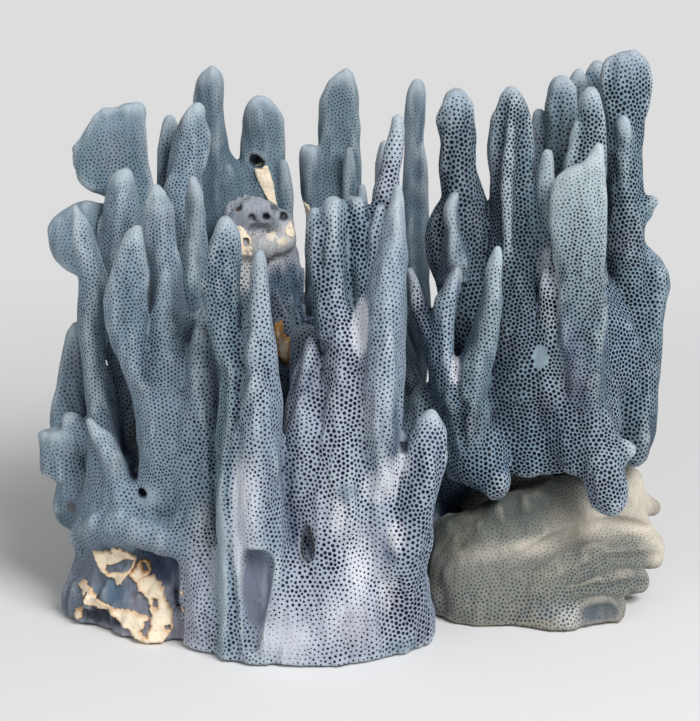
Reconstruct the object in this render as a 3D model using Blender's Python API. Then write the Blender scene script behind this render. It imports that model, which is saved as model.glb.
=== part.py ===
"""Blue coral skeleton: a fused base of low masses that carries a thicket of upright fingers and leaves.

Every piece is grown the same way: a spine of points, foot to tip, carries a round section whose half
width is given at each point, and the whole is then flattened front to back. Each piece is trimmed by the
ones that it grows out of, with a hairline gap between them. The colony is sawn off flat at z = 0.
X runs along the colony, Y from front to back, and Z is up.
"""

import bmesh
import bpy
from mathutils import Vector

MM = 0.001
GAP = 0.45 * MM  # clearance that a piece keeps to the one it grows from
GROUND = 0.0  # height of the sawn underside
MASS_SIDES = 16
BRANCH_SIDES = 8
WELD = 0.01 * MM

BLUE = (0.16, 0.24, 0.34)
SLATE = (0.11, 0.17, 0.25)
LILAC = (0.36, 0.42, 0.56)
ICE = (0.37, 0.48, 0.52)
CREAM = (0.56, 0.52, 0.44)
CRUST = (0.32, 0.32, 0.36)

# Each piece: name, colour, depth over width, spine of (x, y, z, half width) in millimetres, foot to tip.
MASSES = [
    ("rear_left_mass", SLATE, 1.15, [(-34, 8, -4, 28), (-34, 8, 25, 28), (-36, 12, 60, 25),
                                     (-38, 20, 86, 20), (-38, 24, 98, 15)]),
    ("rear_middle_mass", SLATE, 1.25, [(2, 8, -4, 25), (2, 8, 25, 25), (2, 10, 52, 22), (0, 18, 78, 15)]),
    ("front_buttress", LILAC, 0.52, [(-12, -40, -4, 34), (-12, -41, 12, 34), (-12, -40, 38, 33),
                                     (-13, -37, 58, 30), (-12, -35, 74, 24)]),
    ("side_buttress", BLUE, 1.3, [(-43, -38, -4, 7), (-43, -39, 30, 7), (-43, -36, 46, 6), (-44, -32, 58, 4)]),
    ("pale_lobe", CREAM, 0.8, [(54, -8, -4, 32), (55, -7, 12, 34), (57, -3, 27, 32), (60, 2, 41, 25)]),
    ("right_mass", BLUE, 0.86, [(55, -1, 31, 19), (55, 0, 42, 25), (56, 0, 62, 27), (56, 0, 80, 25),
                                (56, 2, 94, 18)]),
    ("left_base", SLATE, 0.85, [(-62, -16, -4, 24), (-62, -15, 16, 24), (-61, -14, 30, 20)]),
    ("left_mass", BLUE, 0.8, [(-60, -14, 22, 18), (-58, -16, 40, 19), (-57, -15, 62, 17), (-56, -14, 82, 14)]),
    ("mound", CRUST, 0.95, [(-29, 12, 74, 15), (-30, 20, 96, 13.5), (-30, 22, 104, 11), (-31, 22, 109, 7.5),
                            (-30, 22, 112, 3)]),
]

FRONT_ROW = [
    ("front_pillar", LILAC, 1.25, [(-25, -48, 48, 7), (-25, -50, 62, 5.8), (-25, -50, 77, 4.5),
                                   (-25, -49, 95, 3.3), (-25, -48, 107, 2.3), (-25, -48, 110, 1)]),
    ("front_leaf", BLUE, 0.9, [(-32, -41, 60, 5), (-33, -44, 74, 4), (-34, -43, 84, 4.6), (-36, -42, 98, 5.6),
                               (-35, -41, 107, 4.8), (-34, -40, 114, 2.8), (-34, -40, 117, 1)]),
    ("comb_middle", BLUE, 1.2, [(-3, -37, 66, 7), (-3, -38, 80, 4.8), (-5, -36, 94, 3.7),
                                (-6, -34, 110, 3.6), (-6, -33, 119, 3), (-6, -33, 121, 1.4)]),
    ("comb_right", BLUE, 1.3, [(3, -36, 70, 4), (2, -36, 86, 3.3), (1, -33, 105, 3.3), (0, -31, 117, 3),
                               (0, -31, 120, 2.5)]),
    ("comb_left", BLUE, 1.3, [(-7, -36, 84, 3), (-10, -34, 98, 2.9), (-11, -34, 106, 2.6),
                              (-11, -33, 115, 2), (-11, -33, 118, 1)]),
    ("sail", ICE, 1.7, [(7, -42, 52, 6), (7, -43, 74, 5.8), (8, -41, 95, 5), (10, -39, 112, 3),
                        (11, -38, 121, 1.6), (11, -38, 125, 0.8)]),
    ("needle", BLUE, 1.2, [(8, -33, 80, 5), (8, -30, 106, 4.2), (8, -28, 119, 4), (9, -27, 125, 3.2),
                           (10, -27, 132, 2.4), (11, -26, 138, 1.5), (11, -26, 141, 0.8)]),
    ("rear_peg", SLATE, 1.2, [(9, 12, 66, 5), (9, 9, 92, 4), (8, 9, 110, 2.6), (8, 10, 124, 1.8),
                              (8, 10, 129, 0.9)]),
    ("thumb", LILAC, 1.1, [(13, -46, 32, 8), (16, -47, 45, 6.6), (19, -46, 56, 5.8), (20, -45, 61, 4.8),
                           (20, -45, 64, 3.2), (20, -45, 66, 1.4)]),
]

RIGHT_CLUSTER = [
    ("great_blade", BLUE, 0.75, [(78, 3, 66, 8), (78, 6, 84, 7), (77, 9, 99, 6), (77, 12, 112, 5.4),
                                 (77, 13, 126, 5.6), (77, 14, 137, 6.5), (77, 15, 146, 7.1),
                                 (77, 15, 151, 5.8), (77, 15, 153.5, 2.4)]),
    ("great_blade_back", BLUE, 1.3, [(71, 17, 86, 4), (71, 22, 110, 2.9), (70, 26, 130, 2.5),
                                     (70, 28, 143, 2.6), (70, 28, 148, 2.4), (70, 28, 150, 1.5)]),
    ("side_lobe", BLUE, 1.6, [(79, -4, 36, 4), (82, -3, 48, 4), (82, 0, 62, 4), (83, 3, 73, 4),
                              (85, 6, 88, 4.6), (85, 7, 93, 3.7), (83, 8, 99, 1.4)]),
    ("ribbed_blade", BLUE, 0.85, [(45, -8, 70, 10), (45, -6, 90, 8.6), (44, -3, 103, 6.8),
                                  (44, -1, 114, 5.8), (43, 0, 130, 5.6), (43, 1, 137, 4.8), (43, 0, 143, 3),
                                  (43, 0, 145.5, 1.3)]),
    ("knob_finger", BLUE, 0.95, [(33, -2, 74, 8.5), (31, 0, 91, 8), (29, 0, 100, 9), (29, 0, 107, 8.4),
                                 (30, 0, 115, 6), (28, 0, 124, 5), (27, 0, 136, 5.5), (28, 0, 143, 3.9),
                                 (28, 0, 145.5, 2)]),
    ("knob_thorn", ICE, 1.2, [(28, -6, 90, 4), (28, -8, 99, 3.5), (27, -9, 108, 1.9), (26, -9, 114, 1.4),
                              (27, -9, 117, 0.8)]),
    ("pale_blade", ICE, 1.1, [(64, -18, 66, 7), (63, -19, 88, 6.4), (62, -18, 104, 7.6), (62, -16, 116, 6.6),
                              (63, -15, 122, 5.4), (65, -15, 127, 2.6), (67, -15, 131, 0.9)]),
    ("mid_finger", BLUE, 1.1, [(64, -5, 88, 7), (64, -4, 115, 5), (65, -1, 130, 3.8), (65, 0, 138, 3.7),
                               (65, 0, 143, 2.8), (65, 0, 145.5, 1.3)]),
    ("mid_spine", ICE, 1.1, [(60, -4, 110, 4), (60, -3, 122, 2.6), (61, -1, 132, 1.4), (61, -1, 136, 0.7)]),
    ("rear_paddle", BLUE, 0.9, [(57, 3, 84, 6), (57, 6, 97, 4.4), (58, 10, 112, 4), (58, 12, 126, 4.1),
                                (58, 12, 138, 4.7), (58, 12, 144, 3.8), (58, 12, 147, 1.7)]),
    ("rear_spur", SLATE, 1.1, [(65, 12, 80, 6), (65, 19, 99, 4.3), (65, 24, 120, 2.9), (65, 25, 137, 2.9),
                               (64, 25, 144, 2.5), (64, 25, 147, 1)]),
    ("hanging_leaf", BLUE, 0.9, [(55, 14, 112, 1.4), (54, 15, 117, 2.2), (53, 15, 126, 2.7),
                                 (53, 15, 132, 2), (53, 15, 136, 0.8)]),
    ("rib_tip", ICE, 1.2, [(75, 8, 110, 3.4), (75, 5, 122, 2.3), (75, 4, 130, 1.6), (75, 4, 136, 0.9)]),
    ("thin_spine", ICE, 1.2, [(57, -9, 90, 3.4), (55, -8, 104, 2.6), (54, -7, 114, 2.9), (54, -6, 122, 2.1),
                              (53, -5, 128, 1.1), (53, -5, 130, 0.6)]),
    ("slim_finger", ICE, 1.4, [(35, -17, 50, 7), (33, -25, 70, 4.4), (35, -28, 82, 3.2), (37, -30, 95, 2.3),
                               (38, -30, 102, 1.6), (38, -30, 105, 0.8)]),
    ("fork_right", BLUE, 1.2, [(27, -15, 64, 4), (24, -17, 76, 3.4), (25, -18, 90, 2.9), (27, -19, 97, 2),
                               (28, -20, 101, 0.9)]),
    ("fork_left", BLUE, 1.4, [(29, -12, 54, 4), (24, -14, 71, 3.4), (20, -14, 82, 2.6), (17, -13, 90, 2.3),
                              (16, -12, 95, 1.6), (15, -12, 98, 0.9)]),
]

LEFT_CLUSTER = [
    ("left_leaf", BLUE, 0.85, [(-63, -6, 72, 8), (-65, -5, 88, 7), (-65, -2, 103, 5.9), (-65, 0, 114, 5.3),
                               (-65, 0, 120, 3.8), (-64, 0, 123.5, 1.3)]),
    ("broad_leaf", BLUE, 0.8, [(-48, 8, 86, 8), (-49, 9, 105, 6.4), (-48, 16, 121, 5.8), (-46, 18, 130, 4.9),
                               (-45, 18, 136, 2.8), (-45, 18, 139, 1.1)]),
    ("fan_blade", BLUE, 0.35, [(-62, 4, 88, 8), (-62, 7, 106, 8), (-65, 8, 116, 9.8), (-69, 10, 124, 11.3),
                               (-68, 10, 131, 10), (-65, 10, 137, 6.5), (-65, 10, 139, 5)]),
    ("round_lobe", BLUE, 0.5, [(-69, 0, 86, 4), (-75, 2, 92, 5), (-78, 4, 100, 7.6), (-78, 5, 107, 7.4),
                               (-76, 5, 113, 5), (-75, 5, 115, 2.2)]),
    ("left_pillar", BLUE, 1.3, [(-69, -17, 34, 6.5), (-71, -16, 55, 4.3), (-73, -14, 72, 3.6),
                                (-73, -13, 84, 3.6), (-72, -13, 95, 4), (-76, -12, 109, 2.5),
                                (-77, -12, 115, 0.8)]),
    ("nib_leaf", ICE, 0.9, [(-58, -26, 58, 6), (-60, -28, 76, 5), (-62, -28, 88, 5.8), (-60, -28, 102, 4.4),
                            (-58, -28, 110, 1.8), (-58, -28, 115, 0.7)]),
    ("twin_leaf", BLUE, 1.1, [(-52, -23, 66, 7), (-52, -21, 88, 5), (-53, -18, 107, 4.6), (-54, -18, 116, 3.3),
                              (-54, -18, 121, 1.1)]),
    ("small_leaf", BLUE, 1.2, [(-47, -8, 84, 5), (-46, -8, 99, 3), (-45, -6, 106, 2.1), (-45, -5, 113, 2.3),
                               (-45, -5, 118, 1.9), (-45, -5, 121, 0.9)]),
    ("hidden_finger", SLATE, 1.2, [(-52, 20, 92, 5), (-53, 25, 114, 3.6), (-54, 27, 124, 2.8),
                                   (-53, 28, 131, 2.2), (-53, 28, 134, 1.1)]),
    ("outer_finger", BLUE, 0.75, [(-79, -4, 34, 6.4), (-81, -1, 52, 6), (-80, 0, 66, 4.8), (-79, 0, 75, 2.8),
                                  (-79, 0, 78, 1)]),
    ("outer_block", BLUE, 1.0, [(-82, -8, 33, 4), (-84, -7, 38, 5.4), (-84, -6, 45, 5.2), (-86, -6, 49, 2.5)]),
    ("outer_knob", BLUE, 1.2, [(-80, -5, 14, 3.5), (-82, -4, 23, 5.5), (-82, -4, 29, 4.9), (-81, -4, 33, 2.6)]),
]

REAR_ROW = [
    ("tall_finger", SLATE, 0.8, [(-40, 34, 80, 11), (-40, 40, 106, 8.8), (-41, 42, 118, 5.6),
                                 (-43, 42, 132, 4.4), (-43, 42, 142, 3.4), (-42, 42, 146, 1.3)]),
    ("spoon_blade", SLATE, 0.55, [(-29, 36, 84, 9), (-29, 43, 111, 7), (-28, 45, 124, 6.9), (-28, 45, 131, 6),
                                  (-28, 45, 135, 4), (-28, 45, 137.5, 1.6)]),
    ("spoon_thorn", SLATE, 1.3, [(-22, 36, 80, 4), (-21, 39, 98, 2.8), (-21, 40, 108, 2.1),
                                 (-21, 40, 116, 1.5), (-21, 40, 118.5, 0.7)]),
    ("rear_tower", SLATE, 0.75, [(-4, 30, 60, 11), (-5, 42, 92, 7.6), (-5, 48, 110, 6.4), (-5, 50, 127, 6.3),
                                 (-5, 50, 135, 5.6), (-4, 50, 141, 3.5), (-3, 50, 144.5, 1.2)]),
    ("tower_step", SLATE, 1.1, [(-11, 42, 92, 4), (-13, 46, 110, 3), (-14, 47, 119, 3), (-14, 47, 122, 2.5)]),
    ("tower_rib", SLATE, 1.3, [(-2, 43, 98, 3), (-2, 42, 112, 2.3), (-2, 42, 123, 1.5), (-2, 42, 128, 0.7)]),
    ("tower_thorn", SLATE, 1.3, [(3, 34, 78, 4), (2, 38, 98, 2.3), (2, 40, 107, 1.6), (2, 40, 111, 0.8)]),
    ("rear_blade", SLATE, 1.3, [(15, 30, 52, 6), (17, 42, 88, 2.8), (17, 46, 105, 2.6), (18, 48, 122, 2.8),
                                (18, 48, 132, 3), (18, 48, 138, 2.1), (19, 48, 141, 0.9)]),
    ("rear_thorn", SLATE, 1.2, [(18, 36, 62, 4), (20, 41, 86, 2.2), (20, 45, 104, 2), (20, 46, 118, 1.6),
                                (20, 46, 123, 0.7)]),
]


def clear_scene():
    """Empty the scene, so that the script can be run again in the same file."""
    for old in list(bpy.data.objects):
        bpy.data.objects.remove(old, do_unlink=True)


def new_collection(name):
    """A collection of this name under the scene's own."""
    made = bpy.data.collections.new(name)
    bpy.context.scene.collection.children.link(made)
    return made


def coral_material(name, colour):
    """Chalky mineral with no gloss."""
    material = bpy.data.materials.new(name)
    material.use_nodes = True
    shader = material.node_tree.nodes["Principled BSDF"]
    shader.inputs["Base Color"].default_value = (*colour, 1.0)
    shader.inputs["Roughness"].default_value = 0.8
    shader.inputs["Metallic"].default_value = 0.0
    return material


def evaluated_mesh(thing):
    """The object's mesh in world space, with its modifiers and curve settings carried out."""
    graph = bpy.context.evaluated_depsgraph_get()
    mesh = bpy.data.meshes.new_from_object(thing.evaluated_get(graph))
    mesh.transform(thing.matrix_world)
    return mesh


def grown_spine(spine, grow):
    """The spine in metres, its sections widened by grow and both its ends moved out by the same amount."""
    points = [Vector(point[:3]) * MM for point in spine]
    points[0] += (points[0] - points[1]).normalized() * grow
    points[-1] += (points[-1] - points[-2]).normalized() * grow
    widths = [point[3] * MM + grow for point in spine]
    return points, widths


def grow_piece(name, depth_ratio, spine, sides, home, grow=0.0):
    """One closed solid along the spine. The lean front to back is stretched first, because the
    flattening at the end takes it back."""
    points, widths = grown_spine(spine, grow)
    curve = bpy.data.curves.new(name, "CURVE")
    curve.dimensions = "3D"
    curve.bevel_depth = 1.0
    curve.bevel_resolution = sides // 2 - 2
    curve.use_fill_caps = True
    spline = curve.splines.new("POLY")
    spline.points.add(len(points) - 1)
    for place, point, width in zip(spline.points, points, widths):
        place.co = (point.x, point.y / depth_ratio, point.z, 1.0)
        place.radius = width
    guide = bpy.data.objects.new(name + "_guide", curve)
    guide.scale = (1.0, depth_ratio, 1.0)
    home.objects.link(guide)
    bpy.context.view_layer.update()
    mesh = evaluated_mesh(guide)
    bpy.data.objects.remove(guide, do_unlink=True)
    weld_and_face_out(mesh)
    piece = bpy.data.objects.new(name, mesh)
    home.objects.link(piece)
    return piece


def weld_and_face_out(mesh):
    """Weld the end caps to the wall and turn every face outwards."""
    shape = bmesh.new()
    shape.from_mesh(mesh)
    bmesh.ops.remove_doubles(shape, verts=shape.verts, dist=WELD)
    bmesh.ops.recalc_face_normals(shape, faces=shape.faces)
    shape.to_mesh(mesh)
    shape.free()


def saw_off_foot(piece):
    """Cut away what lies below the ground and close the cut with one flat face."""
    shape = bmesh.new()
    shape.from_mesh(piece.data)
    everything = shape.verts[:] + shape.edges[:] + shape.faces[:]
    cut = bmesh.ops.bisect_plane(shape, geom=everything, plane_co=(0, 0, GROUND), plane_no=(0, 0, 1),
                                 clear_inner=True)
    rim = [item for item in cut["geom_cut"] if isinstance(item, bmesh.types.BMEdge)]
    bmesh.ops.contextual_create(shape, geom=rim)
    bmesh.ops.recalc_face_normals(shape, faces=shape.faces)
    shape.to_mesh(piece.data)
    shape.free()


def box_of(piece):
    """Lowest and highest corner of the piece."""
    corners = [vertex.co for vertex in piece.data.vertices]
    low = Vector([min(corner[axis] for corner in corners) for axis in range(3)])
    high = Vector([max(corner[axis] for corner in corners) for axis in range(3)])
    return low, high


def boxes_meet(one, other):
    """Whether two pieces' boxes come within the gap of each other."""
    low_one, high_one = box_of(one)
    low_other, high_other = box_of(other)
    return all(low_one[axis] <= high_other[axis] + GAP and low_other[axis] <= high_one[axis] + GAP
               for axis in range(3))


def islands(shape):
    """The shape's separate bodies, each as a set of vertices."""
    waiting = set(shape.verts)
    bodies = []
    while waiting:
        edge_of_search = [waiting.pop()]
        body = set(edge_of_search)
        while edge_of_search:
            vertex = edge_of_search.pop()
            for edge in vertex.link_edges:
                neighbour = edge.other_vert(vertex)
                if neighbour in waiting:
                    waiting.discard(neighbour)
                    body.add(neighbour)
                    edge_of_search.append(neighbour)
        bodies.append(body)
    return bodies


def keep_main_body(mesh):
    """Drop the crumbs that a trim leaves: only the body with the longest outline stays."""
    shape = bmesh.new()
    shape.from_mesh(mesh)
    bmesh.ops.remove_doubles(shape, verts=shape.verts, dist=WELD)
    bmesh.ops.dissolve_degenerate(shape, edges=shape.edges, dist=WELD)
    bodies = islands(shape)
    main = max(bodies, key=lambda body: sum(edge.calc_length() for vertex in body for edge in vertex.link_edges))
    crumbs = [vertex for body in bodies if body is not main for vertex in body]
    bmesh.ops.delete(shape, geom=crumbs, context="VERTS")
    shape.to_mesh(mesh)
    shape.free()


def trim(piece, neighbour):
    """Cut the piece back from a neighbour, a solid that is already widened by the gap. The exact solver
    loses a piece now and then where two leaning walls nearly coincide, and the manifold one takes over."""
    cut = piece.modifiers.new("trim", "BOOLEAN")
    cut.operation = "DIFFERENCE"
    cut.object = neighbour
    for solver in ("EXACT", "MANIFOLD"):
        cut.solver = solver
        bpy.context.view_layer.update()
        mesh = evaluated_mesh(piece)
        if mesh.vertices:
            break
    piece.modifiers.remove(cut)
    keep_main_body(mesh)
    piece.data = mesh


def build_coral():
    """Grow every piece in order, trimming each by the earlier ones that it meets."""
    clear_scene()
    coral = new_collection("Blue coral")
    workshop = new_collection("Cutters")
    standing = []
    plan = [(entry, MASS_SIDES) for entry in MASSES]
    plan += [(entry, BRANCH_SIDES) for entry in FRONT_ROW + RIGHT_CLUSTER + LEFT_CLUSTER + REAR_ROW]
    for (name, colour, depth_ratio, spine), sides in plan:
        piece = grow_piece(name, depth_ratio, spine, sides, coral)
        if spine[0][2] * MM < GROUND:
            saw_off_foot(piece)
        for cutter in standing:
            if boxes_meet(piece, cutter):
                trim(piece, cutter)
        material = coral_material(name + "_finish", colour)
        piece.data.materials.clear()
        piece.data.materials.append(material)
        piece.data.shade_smooth()
        piece.data.set_sharp_from_angle(angle=0.9)
        cutter = grow_piece(name + "_cutter", depth_ratio, spine, sides, workshop, grow=GAP)
        cutter.hide_render = True
        cutter.display_type = "WIRE"
        standing.append(cutter)


build_coral()
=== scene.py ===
import math

import bpy
import numpy as np
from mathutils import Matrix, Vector


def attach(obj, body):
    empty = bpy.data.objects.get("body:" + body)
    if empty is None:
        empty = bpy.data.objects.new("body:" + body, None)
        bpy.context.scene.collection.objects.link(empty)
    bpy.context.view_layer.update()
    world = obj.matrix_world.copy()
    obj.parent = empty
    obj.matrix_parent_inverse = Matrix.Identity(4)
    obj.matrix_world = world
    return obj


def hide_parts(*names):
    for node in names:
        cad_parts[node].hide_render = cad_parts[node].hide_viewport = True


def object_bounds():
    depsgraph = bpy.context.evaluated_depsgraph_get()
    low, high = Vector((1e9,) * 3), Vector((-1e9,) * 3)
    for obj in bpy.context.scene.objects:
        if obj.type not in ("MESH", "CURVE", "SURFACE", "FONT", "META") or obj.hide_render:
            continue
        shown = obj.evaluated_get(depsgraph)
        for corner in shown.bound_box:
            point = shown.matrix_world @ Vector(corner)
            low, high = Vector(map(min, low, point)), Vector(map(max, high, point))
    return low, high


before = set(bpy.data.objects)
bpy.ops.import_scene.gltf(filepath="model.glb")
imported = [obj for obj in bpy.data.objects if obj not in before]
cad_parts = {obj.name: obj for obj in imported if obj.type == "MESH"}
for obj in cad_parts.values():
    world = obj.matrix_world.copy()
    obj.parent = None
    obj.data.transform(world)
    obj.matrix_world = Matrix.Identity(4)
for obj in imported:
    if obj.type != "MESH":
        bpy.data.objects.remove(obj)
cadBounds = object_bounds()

mm = 0.001

# How the skeleton is worked out: a closeness field on a grid, then its skin, then the pores in the skin.
skin = dict(
    cell=0.8,           # field spacing in mm; the skin is drawn on every second sample
    margin=9.0,         # room kept round the model's box
    filletLow=1.5,      # how softly pieces flow together near the foot
    filletHigh=0.8,     # and among the tips
    lump=0.34,          # height of the slow unevenness
    lumpLength=11.0,    # and the length of its waves
    flute=0.16,         # height of the fine upright fluting
    fluteLength=4.2,
    upright=3.0,        # how many times longer both are upright than across
    band=0.45,          # how far a wave may be from its length, as a share
    rough=0.42,         # height of the fluting on the crusted pieces
    pitch=1.4,          # distance from pore to pore, unless the piece gives its own
    honeycomb=0.866,    # area of one pore's cell over the square of that distance
    jitter=0.55,        # how far the skin's points are shaken before they are evened out
    slide=0.9,          # share of the way that a point slides in each round
    relaxRounds=22,
    seed=17,
)

# Colours as they look in plain daylight, 0 to 255; a few of them are painted shade or painted highlight, as
# marked.
tones = {
    "blue": (110, 132, 145),
    "deep": (98, 117, 130),
    "rearBlue": (104, 124, 136),
    "leftBlue": (122, 141, 156),
    "web": (122, 144, 164),
    "slate": (92, 112, 126),
    "lilac": (164, 172, 188),
    "steel": (132, 147, 163),
    "ice": (145, 165, 175),
    # painted highlight: pale chalk where light falls, used by the patches below
    "white": (208, 211, 218),
    "pale": (172, 182, 192),
    "palest": (166, 180, 184),
    "trunk": (152, 162, 178),
    "ash": (86, 94, 102),
    "plum": (100, 104, 122),
    "violet": (100, 112, 136),
    # painted shade: the dark inside of pits, holes and cracks
    "pit": (44, 48, 60),
    # painted shade: dark slate for gaps, creases and undersides
    "slateDark": (66, 76, 94),
    "slateBlue": (84, 104, 124),
    "stone": (132, 130, 142),
    "umber": (86, 66, 60),
    "cream": (240, 225, 200),
    "ochre": (206, 148, 78),
    # painted shadow: dark olive under the right mass's overhang and in the oval hole
    "lobe": (120, 121, 115),
    "olive": (62, 68, 64),
    "bone": (214, 205, 190),
    "chalk": (194, 192, 190),
    "crust": (104, 114, 128),
    "mound": (146, 152, 162),
}


def linear(colour):
    # 0 to 255 display values to linear light
    c = np.asarray(colour, dtype=float) / 255.0
    return np.where(c <= 0.04045, c / 12.92, ((c + 0.055) / 1.055) ** 2.4)


# The pieces: spine points (x, y, z, half width, half depth) in mm, foot to tip. The tone turns to the tip's
# over the last tipFade mm; pore is the pores' radius in mm, and pitch the distance from one to the next.

massPieces = {
    "rear_left_mass": dict(tone="slate", pore=0.34, pitch=1.6, spine=[
        (-34, 8, -6, 28, 30), (-34, 8, 25, 28, 30), (-36, 12, 60, 25, 28), (-38, 20, 84, 19, 22),
        (-38, 24, 97, 12, 14)]),
    "rear_middle_mass": dict(tone="slate", pore=0.34, pitch=1.6, spine=[
        (2, 8, -6, 25, 31), (2, 8, 25, 25, 31), (2, 10, 52, 21, 26), (0, 18, 76, 13, 17)]),
    "front_buttress": dict(tone="lilac", pore=0.38, pitch=1.6, spine=[
        (-12, -36, -6, 33, 25), (-12, -36, 6, 33, 25), (-12, -35, 18, 31, 23.5), (-12, -34, 28, 26, 20),
        (-12, -31, 38, 19, 12)]),
    "side_buttress": dict(tone="lilac", pore=0.31, pitch=1.6, spine=[
        (-41, -44.5, -6, 5.2, 7.6), (-41, -43.5, 12, 5, 7.6), (-41, -41, 22, 4.6, 6.6),
        (-41.5, -37, 31, 4, 5)]),
    "pale_lobe": dict(tone="lobe", pore=0.24, pitch=1.3, spine=[
        (46, 4, -6, 20, 14), (46, 4, 10, 20, 14), (48, 5, 24, 18, 12), (51, 6, 42, 16, 12)]),
    "right_mass": dict(tone="web", pore=0.58, pitch=1.45, spine=[
        (53, -1, 39, 20, 17), (54, 0, 50, 24, 19), (56, 0, 64, 25, 19), (56, 0, 80, 23, 17),
        (56, 2, 92, 15, 12)]),
    "left_base": dict(tone="crust", pore=0.16, pitch=1.7, spine=[
        (-62, -18, -6, 21, 19.5), (-62, -18, 8, 20, 18), (-61, -18, 15, 18, 15.5), (-60, -18, 22, 17, 13.5),
        (-60, -18, 30, 15, 13)]),
    "left_mass": dict(tone="leftBlue", pore=0.29, pitch=1.2, spine=[
        (-60, -18, 24, 17, 16.5), (-57, -19, 36, 16, 16), (-49, -18, 49, 10.5, 13), (-48, -17, 62, 9, 12),
        (-48, -16, 74, 8, 11), (-48, -14, 86, 7, 8)]),
    "mound": dict(tone="mound", pore=0.2, pitch=1.15, spine=[
        (-29, 12, 72, 14, 15), (-29, 18, 90, 13, 12), (-29, 20, 97, 11, 10), (-30, 22, 103, 9.5, 9),
        (-31, 22, 107, 7, 7), (-31, 22, 109.6, 4.6, 5)]),
}

frontRow = {
    "front_pillar": dict(tone="steel", tip="blue", pore=0.37, pitch=1.4, spine=[
        (-25, -50, -6, 9, 11), (-25.5, -50, 14, 8.4, 10), (-26, -50, 32, 7.6, 9), (-26, -50, 48, 6.8, 8.4),
        (-25, -50, 62, 5.6, 8), (-25, -50, 77, 4.3, 6.5), (-25, -50, 87, 3.9, 5.5),
        (-25, -49, 95, 3.1, 4.5), (-25, -48, 106, 2.3, 3), (-25, -48, 110, 1, 1.6)]),
    "front_leaf": dict(tone="blue", tip="steel", pore=0.37, pitch=1.2, spine=[
        (-34.5, -49, -6, 1.7, 9.5), (-34.5, -48, 30, 1.7, 9), (-34, -45, 57, 2.6, 7.6),
        (-32, -44, 69, 3.4, 7), (-32, -44, 77, 3.2, 6), (-34, -43, 84, 4.2, 5), (-35, -42, 92, 4.9, 4.5),
        (-36, -42, 100, 5.6, 4.5), (-35, -41, 107, 4.8, 4), (-34, -40, 113, 3, 3),
        (-34, -40, 117, 1.2, 1.8)]),
    "comb_middle": dict(tone="trunk", tip="steel", pore=0.45, pitch=1.45, spine=[
        (-6, -46, -6, 12, 14), (-6, -46, 16, 11, 13.5), (-4, -43, 45, 9.5, 12), (-3, -40, 64, 7.6, 10.5),
        (-3, -39, 73, 6.4, 9), (-3, -38, 82, 4.4, 7), (-5, -36, 94, 3.6, 5), (-6, -34, 110, 3.6, 4.5),
        (-6, -33, 118, 3, 4), (-6, -33, 121, 1.4, 2)]),
    "comb_right": dict(tone="blue", tip="blue", tipFade=3, pore=0.48, pitch=1.35, spine=[
        (2, -38, 66, 4, 8), (2, -36, 86, 3.2, 6), (2, -35, 94, 3.2, 6), (1, -32, 109, 3.3, 4.5),
        (0, -31, 118, 2.9, 3.5), (0, -31, 120.5, 2.2, 2.4)]),
    "comb_left": dict(tone="blue", tip="steel", pore=0.46, pitch=1.35, spine=[
        (-7, -36, 84, 3, 5), (-9, -35, 97, 2.9, 4), (-11, -34, 106, 2.6, 4), (-11, -33, 114, 2.1, 3),
        (-11, -33, 118, 1.1, 1.6)]),
    "sail": dict(tone="steel", tip="steel", pore=0.34, pitch=1.4, tipFade=42, spine=[
        (3, -38, 22, 4, 8), (4, -42, 36, 5, 9), (6, -44, 48, 5.4, 10), (7, -44, 63, 5.4, 11),
        (7, -43, 74, 5.8, 11), (8, -41, 95, 5, 8), (9, -40, 103, 4.3, 6), (10, -39, 112, 2.9, 4),
        (11, -38, 121, 1.7, 2.2), (11, -38, 125, 0.8, 1.4)]),
    "needle": dict(tone="steel", tip="ice", pore=0.44, pitch=1.35, spine=[
        (8, -34, 78, 5, 8), (8, -33, 93, 4.5, 7), (8, -30, 106, 4, 6), (8, -28, 117, 4.1, 5),
        (8, -28, 123, 3.8, 4), (9, -27, 127, 2.8, 3.3), (10, -27, 132, 2.3, 2.8), (11, -26, 138, 1.5, 2),
        (11, -26, 141, 0.8, 1.4)]),
    "rear_peg": dict(tone="slate", tip="steel", pore=0.3, spine=[
        (9, 12, 66, 5, 7), (9, 5, 90, 4, 6), (8, 8, 104, 3.1, 4), (8, 10, 115, 2.3, 3),
        (8, 10, 124, 1.8, 2.2), (8, 10, 129, 1, 1.4)]),
    "thumb": dict(tone="steel", tip="lilac", pore=0.52, pitch=1.55, spine=[
        (13.5, -41, -6, 7.6, 8), (13.5, -42, 8, 7.8, 9), (13, -46, 19, 6, 8), (15, -48, 31, 5.2, 8),
        (15.5, -48, 41, 5, 8), (19, -46, 55, 5.6, 7.5), (20, -45, 60, 4.8, 6), (20, -45, 63.5, 3.2, 4),
        (20, -45, 66, 1.4, 2)]),
}

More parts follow.
